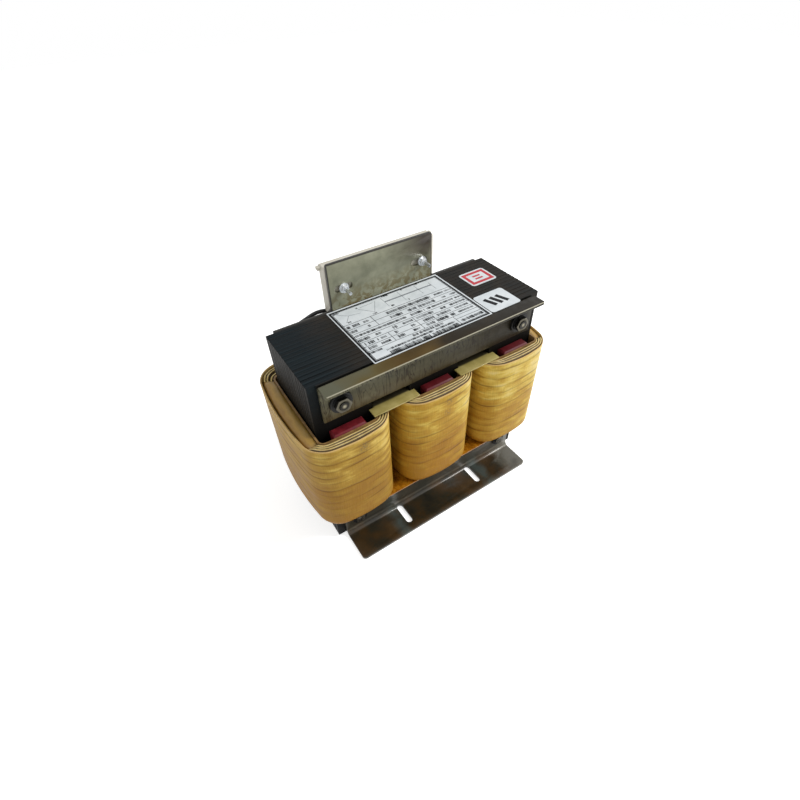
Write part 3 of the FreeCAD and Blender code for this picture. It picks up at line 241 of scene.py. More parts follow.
def core_finish():
    """Dipped lamination edges: blue-black satin varnish, streaked along each sheet, browner by the label,
    with painted shade down the sides and on the end faces.
    """
    material, tree, shader, place, colour = patchy(
        "varnished_electrical_steel_laminations",
        [(0.30, "#070a0b"), (0.50, "#10171a"), (0.72, "#1c2528")],
        2.4, stretch=(0.03, 1, 0.03), grain=0.9, relief=0.05, dull=(0.46, 0.64), Specular_IOR_Level=0.08)
    split = add(tree, "ShaderNodeSeparateXYZ", {"Vector": place}).outputs
    # bundles of laminations, 5 mm each, show as paler bands
    bundle = add(tree, "ShaderNodeMath", {
        0: split["Y"], 1: 2 * math.pi / PACKET}, operation="MULTIPLY").outputs[0]
    wave = add(tree, "ShaderNodeMath", {0: bundle}, operation="SINE").outputs[0]
    striped = tinted(tree, colour, linear("#232e33"), wave, 0.1, 1.0, (0.0, 0.4))
    near_label = add(tree, "ShaderNodeMapRange", {
        "Value": split["X"], "From Min": LABEL_LEFT - 38 * MM, "From Max": LABEL_LEFT - 4 * MM, "To Min": 0.0,
        "To Max": 0.75}).outputs[0]
    dust = add(tree, "ShaderNodeTexNoise", {
        "Vector": place, "Scale": 1 / (14 * MM), "Detail": 4.0}).outputs["Fac"]
    browner = add(tree, "ShaderNodeMath", {0: near_label, 1: dust}, operation="MULTIPLY").outputs[0]
    stained_and_darkened = add(tree, "ShaderNodeMixRGB", {
        "Fac": browner, "Color1": striped, "Color2": linear("#3a3026")}).outputs[0]
    # painted shade: darker down the sides from the core's top and nearly black below, for the shade under the
    # clamps and between the coils
    stained_and_darkened = tinted(
        tree, stained_and_darkened, linear("#0a0806"), split["Z"], CORE_TOP - 34.3 * MM, CORE_TOP - 0.8 * MM, (0.92, 0.0))
    # end faces: one clear sheet, drawn nearly black as painted shade, with a painted sheen a little lighter
    # towards the top
    at_end = add(tree, "ShaderNodeMapRange", {
        "Value": split["X"], "From Min": 0.1 * MM - CORE_END, "From Max": 0.5 * MM - CORE_END, "To Min": 0.96,
        "To Max": 0.0}).outputs[0]
    height = add(tree, "ShaderNodeMapRange", {
        "Value": split["Z"], "From Min": CORE_TOP - 49.3 * MM, "From Max": CORE_TOP - 0.3 * MM}).outputs[0]
    end = add(tree, "ShaderNodeValToRGB", {
        "Fac": height}, [(0.0, "#020201"), (0.45, "#060402"), (1.0, "#100f0d")])
    finished = add(tree, "ShaderNodeMixRGB", {
        "Fac": at_end, "Color1": stained_and_darkened, "Color2": end.outputs["Color"]}).outputs[0]
    tree.links.new(finished, shader.inputs["Base Color"])
    # single sheets of 0.5 mm, drawn twice as coarse to show
    sheet = add(tree, "ShaderNodeMath", {
        0: split["Y"], 1: 2 * math.pi / SHEET}, operation="MULTIPLY").outputs[0]
    edge = add(tree, "ShaderNodeMath", {0: sheet}, operation="SINE").outputs[0]
    grain = add(tree, "ShaderNodeTexNoise", {
        "Vector": place, "Scale": 1 / (1.1 * MM), "Detail": 2.0}).outputs["Fac"]
    relief = add(tree, "ShaderNodeMath", {0: edge, 1: 0.25, 2: grain}, operation="MULTIPLY_ADD").outputs[0]
    inward = add(tree, "ShaderNodeMath", {0: 1.0, 1: at_end}, operation="SUBTRACT").outputs[0]
    relief = add(tree, "ShaderNodeMath", {0: relief, 1: inward}, operation="MULTIPLY").outputs[0]
    bump = add(tree, "ShaderNodeBump", {"Height": relief, "Distance": 0.10 * MM}).outputs[0]
    tree.links.new(bump, shader.inputs["Normal"])
    return material


def front_clamp_finish():
    """Clear-varnished mild steel: grey-green web with dark runs, flange rust brown to the right."""
    material, tree, shader, place, colour = patchy(
        "varnished_mild_steel_angle", [(0.30, "#4a4835"), (0.52, "#5c5944"), (0.72, "#6d6a54")],
        9, grain=0.8, relief=0.03, dull=(0.36, 0.54), Metallic=0.18, Specular_IOR_Level=0.2)
    split = add(tree, "ShaderNodeSeparateXYZ", {"Vector": place}).outputs
    # runs of varnish down the web, 2 to 4 mm apart
    drawn = add(tree, "ShaderNodeMapping", {"Vector": place, "Scale": (1, 1, 0.16)}).outputs[0]
    runs = add(tree, "ShaderNodeTexNoise", {
        "Vector": drawn, "Scale": 1 / (4.2 * MM), "Detail": 2.0, "Distortion": 0.9}).outputs["Fac"]
    thin = add(tree, "ShaderNodeValToRGB", {"Fac": runs}, [
        (0.40, "#000000"), (0.43, "#000000"), (0.465, "#ffffff"), (0.485, "#ffffff"),
        (0.52, "#000000")]).outputs[0]
    patch = add(tree, "ShaderNodeTexNoise", {
        "Vector": place, "Scale": 1 / (30 * MM), "Detail": 1.0}).outputs["Fac"]
    here = add(tree, "ShaderNodeMapRange", {
        "Value": patch, "From Min": 0.38, "From Max": 0.54, "To Min": 0.45, "To Max": 1.0}).outputs[0]
    drips = add(tree, "ShaderNodeMath", {0: thin, 1: here}, operation="MULTIPLY").outputs[0]
    web = add(tree, "ShaderNodeMixRGB", {
        "Fac": drips, "Color1": colour, "Color2": linear("#171007")}).outputs[0]
    low = add(tree, "ShaderNodeMapRange", {
        "Value": split["Z"], "From Min": CLAMP_BOTTOM + 0.2 * MM, "From Max": CLAMP_BOTTOM + 20.7 * MM,
        "To Min": 1.0, "To Max": 0.0}).outputs[0]
    rusty = add(tree, "ShaderNodeTexNoise", {
        "Vector": place, "Scale": 1 / (22 * MM), "Detail": 3.0}).outputs["Fac"]
    rust = add(tree, "ShaderNodeMath", {0: low, 1: rusty}, operation="MULTIPLY").outputs[0]
    web = add(tree, "ShaderNodeMixRGB", {"Fac": rust, "Color1": web, "Color2": linear("#54401c")}).outputs[0]
    # flange top, from grey at the left to brown at the right
    along = add(tree, "ShaderNodeMapRange", {
        "Value": split["X"], "From Min": -CLAMP_END, "From Max": CLAMP_END}).outputs[0]
    wander = add(tree, "ShaderNodeMath", {0: patch, 1: 0.55, 2: along}, operation="MULTIPLY_ADD").outputs[0]
    flange = add(tree, "ShaderNodeValToRGB", {"Fac": wander}, [
        (0.30, "#5f5f4d"), (0.48, "#5f5432"), (0.64, "#523f1a"), (0.85, "#261c08"),
        (1.0, "#171105")]).outputs[0]
    on_top = add(tree, "ShaderNodeMapRange", {
        "Value": split["Z"], "From Min": CORE_TOP - 0.5 * MM, "From Max": CORE_TOP - 0.1 * MM, "To Min": 0.0,
        "To Max": 1.0}).outputs[0]
    # the web is drawn darker to the right, as the photographed one is lit
    web = tinted(tree, web, linear("#161003"), split["X"], -0.095, 0.07, (0.0, 0.93))
    finished = add(tree, "ShaderNodeMixRGB", {"Fac": on_top, "Color1": web, "Color2": flange}).outputs[0]
    # a painted highlight along the outer corner of the bend
    bend = CORE_TOP - CLAMP_FRONT
    corner = add(tree, "ShaderNodeMath", {0: split["Z"], 1: split["Y"]}, operation="SUBTRACT").outputs[0]
    bright = tinted(tree, finished, linear("#b9b49f"), corner, bend - 0.9 * MM, bend - 0.3 * MM, (0.0, 0.7))
    tree.links.new(bright, shader.inputs["Base Color"])
    return material


def plate_finish():
    """The same varnished steel as a flat plate, with amber varnish drying in blotches along its foot."""
    material, tree, shader, place, colour = patchy(
        "varnished_mild_steel_plate", [(0.30, "#767762"), (0.52, "#888973"), (0.72, "#95957f")],
        14, grain=0.8, relief=0.03, dull=(0.34, 0.52), Metallic=0.3, Coat_Weight=0.1)
    split = add(tree, "ShaderNodeSeparateXYZ", {"Vector": place}).outputs
    low = add(tree, "ShaderNodeMapRange", {
        "Value": split["Z"], "From Min": CORE_TOP - 0.3 * MM, "From Max": CORE_TOP + 22.7 * MM,
        "To Min": 0.85, "To Max": 0.0}).outputs[0]
    spots = add(tree, "ShaderNodeTexNoise", {
        "Vector": place, "Scale": 1 / (5.5 * MM), "Detail": 3.0, "Distortion": 0.6}).outputs["Fac"]
    spot = add(tree, "ShaderNodeMapRange", {"Value": spots, "From Min": 0.44, "From Max": 0.56}).outputs[0]
    amount = add(tree, "ShaderNodeMath", {0: low, 1: spot}, operation="MULTIPLY").outputs[0]
    stained = add(tree, "ShaderNodeMixRGB", {
        "Fac": amount, "Color1": colour, "Color2": linear("#5f4f1f")}).outputs[0]
    right = add(tree, "ShaderNodeMapRange", {
        "Value": split["X"], "From Min": 0.0, "From Max": 0.045}).outputs[0]
    high = add(tree, "ShaderNodeMapRange", {
        "Value": split["Z"], "From Min": CORE_TOP + 13.7 * MM, "From Max": CORE_TOP + 37.7 * MM}).outputs[0]
    shade = add(tree, "ShaderNodeMath", {0: right, 1: high}, operation="MULTIPLY").outputs[0]
    stained_and_darkened = add(tree, "ShaderNodeMixRGB", {
        "Fac": shade, "Color1": stained, "Color2": linear("#2c2318")}).outputs[0]
    # dark line of varnish round the plate's cut edge; below it, it darkens the ends of the wider clamp too
    side = add(tree, "ShaderNodeMath", {0: split["X"]}, operation="ABSOLUTE").outputs[0]
    near_side = add(tree, "ShaderNodeMapRange", {
        "Value": side, "From Min": PLATE_SIDE - 0.8 * MM, "From Max": PLATE_SIDE}).outputs[0]
    near_top = add(tree, "ShaderNodeMapRange", {
        "Value": split["Z"], "From Min": PLATE_TOP - 1.2 * MM, "From Max": PLATE_TOP - 0.4 * MM}).outputs[0]
    edge = add(tree, "ShaderNodeMath", {0: near_side, 1: near_top}, operation="MAXIMUM").outputs[0]
    # and a thin one where the plate rises past the core's top
    from_core = add(tree, "ShaderNodeMath", {
        0: split["Z"], 1: CORE_TOP - 0.3 * MM}, operation="SUBTRACT").outputs[0]
    from_core = add(tree, "ShaderNodeMath", {0: from_core}, operation="ABSOLUTE").outputs[0]
    under = add(tree, "ShaderNodeMapRange", {
        "Value": from_core, "From Min": 0.0005, "From Max": 0.0007, "To Min": 1.0, "To Max": 0.0}).outputs[0]
    rim = add(tree, "ShaderNodeMath", {0: edge, 1: under}, operation="MAXIMUM").outputs[0]
    finished = add(tree, "ShaderNodeMixRGB", {
        "Fac": rim, "Color1": stained_and_darkened, "Color2": linear("#1f1c16")}).outputs[0]
    tree.links.new(finished, shader.inputs["Base Color"])
    return material


def foot_finish():
    """Mild steel under pooled varnish: olive to red-brown, scraped grey at the right, with a painted
    highlight along its bend.
    """
    material, tree, shader, place, colour = patchy(
        "varnish_pooled_steel_foot", [(0.30, "#1f1d17"), (0.44, "#2a2518"), (0.56, "#38270d"),
        (0.72, "#443011")],
        26, grain=0.9, relief=0.04, dull=(0.28, 0.46), Metallic=0.2, Coat_Weight=0.25)
    split = add(tree, "ShaderNodeSeparateXYZ", {"Vector": place}).outputs
    cloud = add(tree, "ShaderNodeTexNoise", {
        "Vector": place, "Scale": 1 / (16 * MM), "Detail": 4.0, "Distortion": 0.4}).outputs["Fac"]
    # thin varnish beside each slot leaves the steel showing blue-grey
    side = add(tree, "ShaderNodeMath", {0: split["X"]}, operation="ABSOLUTE").outputs[0]
    offset = add(tree, "ShaderNodeMath", {0: side, 1: SLOT_PLACE}, operation="SUBTRACT").outputs[0]
    distance = add(tree, "ShaderNodeMath", {0: offset}, operation="ABSOLUTE").outputs[0]
    close = add(tree, "ShaderNodeMapRange", {
        "Value": distance, "From Min": 0.0, "From Max": 0.017, "To Min": 1.0, "To Max": 0.0}).outputs[0]
    thin = add(tree, "ShaderNodeMath", {0: close, 1: cloud}, operation="MULTIPLY").outputs[0]
    blued = tinted(tree, colour, linear("#46504c"), thin, 0.18, 0.5, (0.0, 0.8))
    # scraped grey towards the right end
    right = add(tree, "ShaderNodeMapRange", {
        "Value": split["X"], "From Min": 0.062, "From Max": 0.112}).outputs[0]
    scrape = add(tree, "ShaderNodeMath", {0: right, 1: cloud}, operation="MULTIPLY").outputs[0]
    greyed = tinted(tree, blued, linear("#5e5b50"), scrape, 0.2, 0.42, (0.0, 0.9))
    # the web above the bend, greyer than the flange
    upright = tinted(tree, greyed, linear("#3f3d33"), split["Z"], 0.009, 0.013, (0.0, 0.75))
    # a painted highlight along the bend
    bend = add(tree, "ShaderNodeValToRGB", {"Fac": add(tree, "ShaderNodeMapRange", {
        "Value": split["Z"], "From Min": 0.004, "From Max": 0.012}).outputs[0]}, [
        (0.2, "#000000"), (0.48, "#b0b0b0"), (0.62, "#b0b0b0"), (0.9, "#000000")]).outputs[0]
    wear_and_highlight = add(tree, "ShaderNodeMath", {0: bend, 1: cloud}, operation="MULTIPLY").outputs[0]
    finished = add(tree, "ShaderNodeMixRGB", {
        "Fac": wear_and_highlight, "Color1": upright, "Color2": linear("#b5af9e")}).outputs[0]
    tree.links.new(finished, shader.inputs["Base Color"])
    return material


def bolt_finish():
    """Black-oxide steel under brown varnish, with the nut's face and the bolt's tip rubbed to bare metal, and
    a ring of painted shade in the thread's chamfer.
    """
    material, tree, shader, place, colour = patchy(
        "rubbed_black_oxide_steel", [(0.3, "#0d0c0a"), (0.5, "#191713"), (0.7, "#2a2722")],
        3, grain=0.5, relief=0.02, dull=(0.3, 0.48), Metallic=0.7)
    split = add(tree, "ShaderNodeSeparateXYZ", {"Vector": place}).outputs
    reach = add(tree, "ShaderNodeMath", {0: split["Y"]}, operation="ABSOLUTE").outputs[0]
    face = add(tree, "ShaderNodeMapRange", {
        "Value": reach, "From Min": NUT_FACE - 0.35 * MM, "From Max": NUT_FACE - 0.1 * MM}).outputs[0]
    side = add(tree, "ShaderNodeMath", {0: split["X"]}, operation="ABSOLUTE").outputs[0]
    across = add(tree, "ShaderNodeMath", {0: side, 1: BOLT_PLACE}, operation="SUBTRACT").outputs[0]
    up = add(tree, "ShaderNodeMath", {0: split["Z"], 1: BOLT_HEIGHT}, operation="SUBTRACT").outputs[0]
    from_axis = add(tree, "ShaderNodeVectorMath", {
        0: add(tree, "ShaderNodeCombineXYZ", {
            "X": across, "Y": up}).outputs[0]}, operation="LENGTH").outputs["Value"]
    radius = add(tree, "ShaderNodeMapRange", {
        "Value": from_axis, "From Min": 0.0, "From Max": 0.008}).outputs[0]
    # the dark ring between the tip and the nut's face is painted shade in the thread's chamfer
    rings = add(tree, "ShaderNodeValToRGB", {"Fac": radius}, [
        (0.0, "#9a9582"), (0.18, "#6d6857"), (0.30, "#15130f"), (0.46, "#1a1814"), (0.60, "#4c483b"),
        (1.0, "#6b665a")]).outputs[0]
    rubbed = add(tree, "ShaderNodeMixRGB", {"Fac": face, "Color1": colour, "Color2": rings}).outputs[0]
    tree.links.new(rubbed, shader.inputs["Base Color"])
    return material


# Paper, card and fibre finishes

def wrap_finish(name, pale, high, middle, low):
    """Amber varnished glass-cloth tape: satin, palest at the top, creases darkened with painted shade,
    upright threads.
    """
    material, tree, shader, place = new_material(
        name, Specular_IOR_Level=0.2, Specular_Tint=linear("#f0c878"))
    split = add(tree, "ShaderNodeSeparateXYZ", {"Vector": place}).outputs
    unrolled = add(tree, "ShaderNodeUVMap", uv_map="unrolled").outputs[0]
    crease = add(tree, "ShaderNodeAttribute", attribute_name="crease").outputs["Fac"]
    tone = add(tree, "ShaderNodeAttribute", attribute_name="tone").outputs["Fac"]
    rim = add(tree, "ShaderNodeAttribute", attribute_name="rim").outputs["Fac"]
    drawn = add(tree, "ShaderNodeMapping", {"Vector": unrolled, "Scale": (0.28, 1, 1)}).outputs[0]
    streaks = add(tree, "ShaderNodeTexNoise", {
        "Vector": drawn, "Scale": 1 / (7 * MM), "Detail": 5.0, "Roughness": 0.62}).outputs["Fac"]
    wide = add(tree, "ShaderNodeTexNoise", {
        "Vector": unrolled, "Scale": 1 / (38 * MM), "Detail": 2.0}).outputs["Fac"]
    fall = add(tree, "ShaderNodeMapRange", {
        "Value": split["Z"], "From Min": COIL_BOTTOM * MM, "From Max": WRAP_TOP * MM, "To Min": -0.33,
        "To Max": 0.17}).outputs[0]
    shade = add(tree, "ShaderNodeMath", {0: streaks, 1: 1.15, 2: fall}, operation="MULTIPLY_ADD").outputs[0]
    shade = add(tree, "ShaderNodeMath", {0: wide, 1: 0.6, 2: shade}, operation="MULTIPLY_ADD").outputs[0]
    shade = add(tree, "ShaderNodeMath", {0: tone, 1: 0.12, 2: shade}, operation="MULTIPLY_ADD").outputs[0]
    # flanks that face right are drawn paler, to match the photographed light
    facing = add(tree, "ShaderNodeNewGeometry").outputs["Normal"]
    sideways = add(tree, "ShaderNodeSeparateXYZ", {"Vector": facing}).outputs["X"]
    flank = add(tree, "ShaderNodeMath", {0: sideways}, operation="ABSOLUTE").outputs[0]
    flank = add(tree, "ShaderNodeMath", {0: sideways, 1: 0.9, 2: flank}, operation="MULTIPLY_ADD").outputs[0]
    flank = add(tree, "ShaderNodeMath", {0: flank, 1: 0.8}, operation="MINIMUM").outputs[0]
    shade = add(tree, "ShaderNodeMath", {0: flank, 1: 0.21, 2: shade}, operation="MULTIPLY_ADD").outputs[0]
    # and the right coil is drawn paler than the middle and left ones, for the same reason
    along = add(tree, "ShaderNodeMapRange", {
        "Value": split["X"], "From Min": 0.0, "From Max": 0.09, "To Min": -0.24, "To Max": -0.01}).outputs[0]
    shade = add(tree, "ShaderNodeMath", {0: along, 1: shade}, operation="ADD").outputs[0]
    spread = add(tree, "ShaderNodeMapRange", {"Value": shade, "From Min": 0.42, "From Max": 1.16}).outputs[0]
    colour = add(tree, "ShaderNodeValToRGB", {"Fac": spread}, [
        (0.0, low), (0.46, middle), (0.74, high), (1.0, pale)]).outputs[0]
    # threads 1 mm apart, as coarse as they need to show
    threads = add(tree, "ShaderNodeMapping", {"Vector": unrolled, "Scale": (1, 0.06, 1)}).outputs[0]
    weave = add(tree, "ShaderNodeTexNoise", {
        "Vector": threads, "Scale": 1 / (0.9 * MM), "Detail": 1.0}).outputs["Fac"]
    woven = tinted(tree, colour, linear("#5c3f12"), weave, 0.3, 0.7, (0.16, 0.0))
    # orange varnish gathers at the foot, and painted shade darkens each crease
    foot = add(tree, "ShaderNodeMapRange", {
        "Value": split["Z"], "From Min": (COIL_BOTTOM + 0.5) * MM, "From Max": (COIL_BOTTOM + 11.3) * MM,
        "To Min": 0.75, "To Max": 0.0}).outputs[0]
    amber = add(tree, "ShaderNodeMath", {0: foot, 1: wide}, operation="MULTIPLY").outputs[0]
    footed = add(tree, "ShaderNodeMixRGB", {
        "Fac": amber, "Color1": woven, "Color2": linear("#8d5414")}).outputs[0]
    dark = add(tree, "ShaderNodeMath", {0: crease, 1: 0.85}, operation="MULTIPLY").outputs[0]
    lined = add(tree, "ShaderNodeMixRGB", {
        "Fac": dark, "Color1": footed, "Color2": linear("#5a380c")}).outputs[0]
    # faded smudges of marking ink, no more than a blurred patch
    smudge = lined
    for x, y, z, size in SMUDGES:
        away = add(tree, "ShaderNodeVectorMath", {
            0: place, 1: (x * MM, y * MM, z * MM)}, operation="DISTANCE")
        near = add(tree, "ShaderNodeMapRange", {
            "Value": away.outputs["Value"], "From Min": size * 0.3 * MM, "From Max": size * MM, "To Min": 1.0,
            "To Max": 0.0})
        speckle = add(tree, "ShaderNodeTexNoise", {
            "Vector": place, "Scale": 1 / (1.3 * MM), "Detail": 3.0}).outputs["Fac"]
        wear_and_highlight = add(tree, "ShaderNodeMapRange", {
            "Value": speckle, "From Min": 0.42, "From Max": 0.6, "To Min": 0.0, "To Max": 0.6}).outputs[0]
        mark = add(tree, "ShaderNodeMath", {0: near.outputs[0], 1: wear_and_highlight}, operation="MULTIPLY").outputs[0]
        smudge = add(tree, "ShaderNodeMixRGB", {
            "Fac": mark, "Color1": smudge, "Color2": linear("#4b5248")}).outputs[0]
    finished = add(tree, "ShaderNodeMixRGB", {
        "Fac": rim, "Color1": smudge, "Color2": linear("#cfae74")}).outputs[0]
    tree.links.new(finished, shader.inputs["Base Color"])
    rough = add(tree, "ShaderNodeMapRange", {
        "Value": streaks, "From Min": 0.3, "From Max": 0.7, "To Min": 0.40, "To Max": 0.58}).outputs[0]
    tree.links.new(rough, shader.inputs["Roughness"])
    relief = add(tree, "ShaderNodeMath", {0: streaks, 1: 2.0, 2: weave}, operation="MULTIPLY_ADD").outputs[0]
    bump = add(tree, "ShaderNodeBump", {"Height": relief, "Distance": 0.12 * MM}).outputs[0]
    tree.links.new(bump, shader.inputs["Normal"])
    return material


def winding_finish():
    """Varnish-soaked winding ends: brown deepened to near black between the papers as painted shade; smooth
    golden card over the long sides, darker inwards as painted shade from the core.
    """
    material, tree, shader, place, colour = patchy(
        "varnish_soaked_winding_ends", [(0.3, "#1e1308"), (0.5, "#38240f"), (0.7, "#573b1a")],
        2.2, grain=0.7, relief=0.05, dull=(0.35, 0.55), Coat_Weight=0.1)
    collar = add(tree, "ShaderNodeAttribute", attribute_name="collar").outputs["Fac"]
    inward = add(tree, "ShaderNodeAttribute", attribute_name="depth").outputs["Fac"]
    cloud = add(tree, "ShaderNodeTexNoise", {
        "Vector": place, "Scale": 1 / (12 * MM), "Detail": 4.0}).outputs["Fac"]
    # the card darkens inwards towards the core leg: painted shade
    spread = add(tree, "ShaderNodeMath", {0: cloud, 1: 0.6, 2: inward}, operation="MULTIPLY_ADD").outputs[0]
    card = add(tree, "ShaderNodeValToRGB", {"Fac": spread}, [
        (0.30, "#4b3e17"), (0.5, "#8b6d2b"), (0.8, "#b08a3a"), (1.0, "#98712c")]).outputs[0]
    finished = add(tree, "ShaderNodeMixRGB", {"Fac": collar, "Color1": colour, "Color2": card}).outputs[0]
    tree.links.new(finished, shader.inputs["Base Color"])
    return material


def layer_paper_finish():
    """Thin varnished kraft sheets: pale tan along their cut top edges, dark brown down their faces,
    varnish-soaked and deepened by painted shade.
    """
    material, tree, shader, place, colour = patchy(
        "varnished_layer_paper", [(0.3, "#b39a5c"), (0.5, "#cfb674"), (0.7, "#e2cd94")],
        6, grain=2.0, relief=0.03, dull=(0.5, 0.65))
    facing = add(tree, "ShaderNodeNewGeometry").outputs["True Normal"]
    up = add(tree, "ShaderNodeSeparateXYZ", {"Vector": facing}).outputs["Z"]
    # faces that do not face up are darkened: painted shade of the narrow gaps between the sheets
    finished = tinted(tree, colour, linear("#3d280c"), up, 0.3, 0.6, (0.92, 0.0))
    tree.links.new(finished, shader.inputs["Base Color"])
    return material


def strip_finish():
    """Varnished pressboard strips: khaki where they lie open, near black with painted shadow where they run
    under the core.
    """
    material, tree, shader, place, colour = patchy(
        "varnished_pressboard_strip", [(0.3, "#8f8148"), (0.5, "#a19253"), (0.7, "#b0a163")],
        10, grain=0.7, relief=0.04, dull=(0.38, 0.55), Coat_Weight=0.1)
    split = add(tree, "ShaderNodeSeparateXYZ", {"Vector": place}).outputs
    reach = add(tree, "ShaderNodeMath", {0: split["Y"]}, operation="ABSOLUTE").outputs[0]
    # painted shadow: near black where the strips run under the core
    finished = tinted(
        tree, colour, linear("#16130e"), reach, CORE_SIDE - 0.5 * MM, CORE_SIDE + 1.5 * MM, (0.95, 0.0))
    tree.links.new(finished, shader.inputs["Base Color"])
    return material


def wedge_finish():
    """Red vulcanised fibre: dull crimson in soft patches, darker towards the middle and right coils."""
    material, tree, shader, place, colour = patchy(
        "red_vulcanised_fibre", [(0.3, "#490b12"), (0.5, "#63121a"), (0.7, "#771e26")],
        7, grain=0.6, relief=0.04, dull=(0.45, 0.6), Specular_IOR_Level=0.3)
    split = add(tree, "ShaderNodeSeparateXYZ", {"Vector": place}).outputs
    finished = tinted(tree, colour, linear("#4c0a10"), split["X"], -0.06, 0.0, (0.0, 0.8))
    tree.links.new(finished, shader.inputs["Base Color"])
    return material


# Where marking ink has smudged the wraps: x, y, z and size in mm
SMUDGES = [(-88, -62.5, 148, 8), (2, -62.5, 152, 6), (1, -62.5, 139, 5)]

core_steel = core_finish()
clamp_steel = front_clamp_finish()
plate_steel = plate_finish()
foot_steel = foot_finish()
bolt_steel = bolt_finish()
left_wrap = wrap_finish("amber_glass_cloth_wrap_shaded", "#e2cb80", "#d5b65c", "#af8b39", "#986e23")
bright_wrap = wrap_finish("amber_glass_cloth_wrap", "#e6d08a", "#dcc05f", "#bd963a", "#a2721f")
winding_ends = winding_finish()
strip_card = strip_finish()
red_fibre = wedge_finish()
sheet_paper = layer_paper_finish()

# Pressboard tube: thick pinkish card soaked in varnish
tube_card = patchy(
    "pressboard_coil_tube", [(0.3, "#6c5130"), (0.5, "#86673c"), (0.7, "#99794a")],
    5, grain=0.6, relief=0.04, dull=(0.4, 0.6))[0]
# Floor sheets under the coils: varnish has pooled on them, wet and deep orange
floor_card = patchy(
    "varnish_pooled_pressboard", [(0.3, "#6a3c07"), (0.48, "#99610f"), (0.62, "#b57d1a"), (0.75, "#a87214")],
    9, grain=0.8, relief=0.03, dull=(0.2, 0.35), Coat_Weight=0.4)[0]
# Black insulation between steel and core: matt laminated board, its near-black colour deepened as painted
# shade under the clamps
black_board = patchy(
    "black_laminated_board", [(0.3, "#030302"), (0.5, "#080705"), (0.7, "#100e0a")],
    8, grain=0.7, relief=0.02, dull=(0.5, 0.7), Specular_IOR_Level=0.25)[0]
# Moulded shoulder washers: black phenolic, faintly glossy
black_phenolic = patchy(
    "black_moulded_phenolic", [(0.3, "#030303"), (0.5, "#060606"), (0.7, "#0b0b0a")],
    4, grain=0.5, relief=0.01, dull=(0.45, 0.6), Specular_IOR_Level=0.3)[0]
# Zinc plate: bright, a little clouded
zinc = patchy(
    "clouded_zinc_plate", [(0.3, "#b9bcbe"), (0.5, "#d6d9db"), (0.7, "#eef0f0")],
    2.5, grain=0.5, relief=0.01, dull=(0.22, 0.4), Metallic=0.9)[0]
# Lower bolts, dipped with the coils: dark steel under brown varnish
dark_steel = patchy(
    "varnished_black_steel_bolt", [(0.3, "#1c1a15"), (0.5, "#4a473e"), (0.7, "#8a867b")],
    3, grain=0.5, relief=0.02, dull=(0.22, 0.42), Metallic=0.7)[0]
# Terminal block: ivory moulded polyester, satin
ivory_block = patchy(
    "ivory_moulded_polyester", [(0.3, "#c4bfae"), (0.5, "#d0cbbc"), (0.7, "#dad6c9")],
    18, grain=0.5, relief=0.01, dull=(0.38, 0.5))[0]
# Clamp cages of the block: nickel-plated brass, soft yellow-grey
plated_brass = patchy(
    "nickel_plated_brass", [(0.3, "#a39b7e"), (0.5, "#bdb594"), (0.7, "#d0c9ac")],
    3, grain=0.5, relief=0.01, dull=(0.2, 0.35), Metallic=1.0)[0]
# Leads: soft black vinyl with a dull skin
black_vinyl = patchy(
    "black_vinyl_lead", [(0.3, "#101011"), (0.5, "#19191b"), (0.7, "#232326")],
    7, grain=0.4, relief=0.01, dull=(0.36, 0.5))[0]
# Sleeves in the bolt holes: brown varnished paper tube
sleeve_paper = patchy(
    "varnished_paper_sleeve", [(0.3, "#5f4522"), (0.5, "#7b5c30"), (0.7, "#8f7040")],
    5, grain=0.5, relief=0.02, dull=(0.4, 0.6))[0]
# Label film: white vinyl with a cool cast, slightly dusty
label_film = patchy(
    "white_vinyl_label", [(0.3, "#c9d0d3"), (0.5, "#d6dcdf"), (0.7, "#dfe4e6")],
    12, grain=0.8, relief=0.01, dull=(0.32, 0.45))[0]
# Printing inks: matt, thin in places
black_ink = patchy(
    "black_label_ink", [(0.3, "#050607"), (0.5, "#0b0d0f"), (0.7, "#1f2326")],
    2.0, grain=0.5, relief=0.005, dull=(0.5, 0.65), Specular_IOR_Level=0.2)[0]
grey_ink = patchy(
    "grey_label_ink", [(0.3, "#6a7076"), (0.5, "#80868b"), (0.7, "#989da1")],
    2.0, grain=0.5, relief=0.005, dull=(0.4, 0.55))[0]
red_ink = patchy(
    "red_label_ink", [(0.3, "#a01826"), (0.5, "#b8232f"), (0.7, "#c6434c")],
    2.5, grain=0.5, relief=0.005, dull=(0.4, 0.55))[0]


# Coil wraps: a taped skin with wavy creases, rounded under at the foot

CREASE_DROPS = (8, 18.5, 28, 37, 46, 55, 64.5, 74.5, 84.5, 94.5)
FOOT_RADIUS, FOOT_STEPS = 7.9, 8
# rows each side of a crease: distance up, depth of the fold, darkness of the painted shade in the crease
FOLD = (
    (2.4, 0.02, 0.08), (1.25, 0.07, 0.28), (0.65, 0.14, 0.6), (0.25, 0.20, 0.85), (0.0, 0.22, 0.9),
    (-0.25, 0.16, 0.7), (-0.65, 0.07, 0.35), (-1.3, 0.02, 0.1), (-2.6, 0.0, 0.0))


def wrap_row(centre, depth, height, tone, rim=0.0, crease=0.0):
    """One row round a wrap; depth, height and crease may change from column to column."""
    columns = range(COLUMNS)
    depths = [depth(column) if callable(depth) else depth for column in columns]
    heights = [height(column) if callable(height) else height for column in columns]
    return {
        "points": [coil_point(column, depths[column], heights[column], centre) for column in columns],
        "tone": [tone] * COLUMNS, "rim": [rim] * COLUMNS,
        "crease": [crease(column) if callable(crease) else crease for column in columns]}


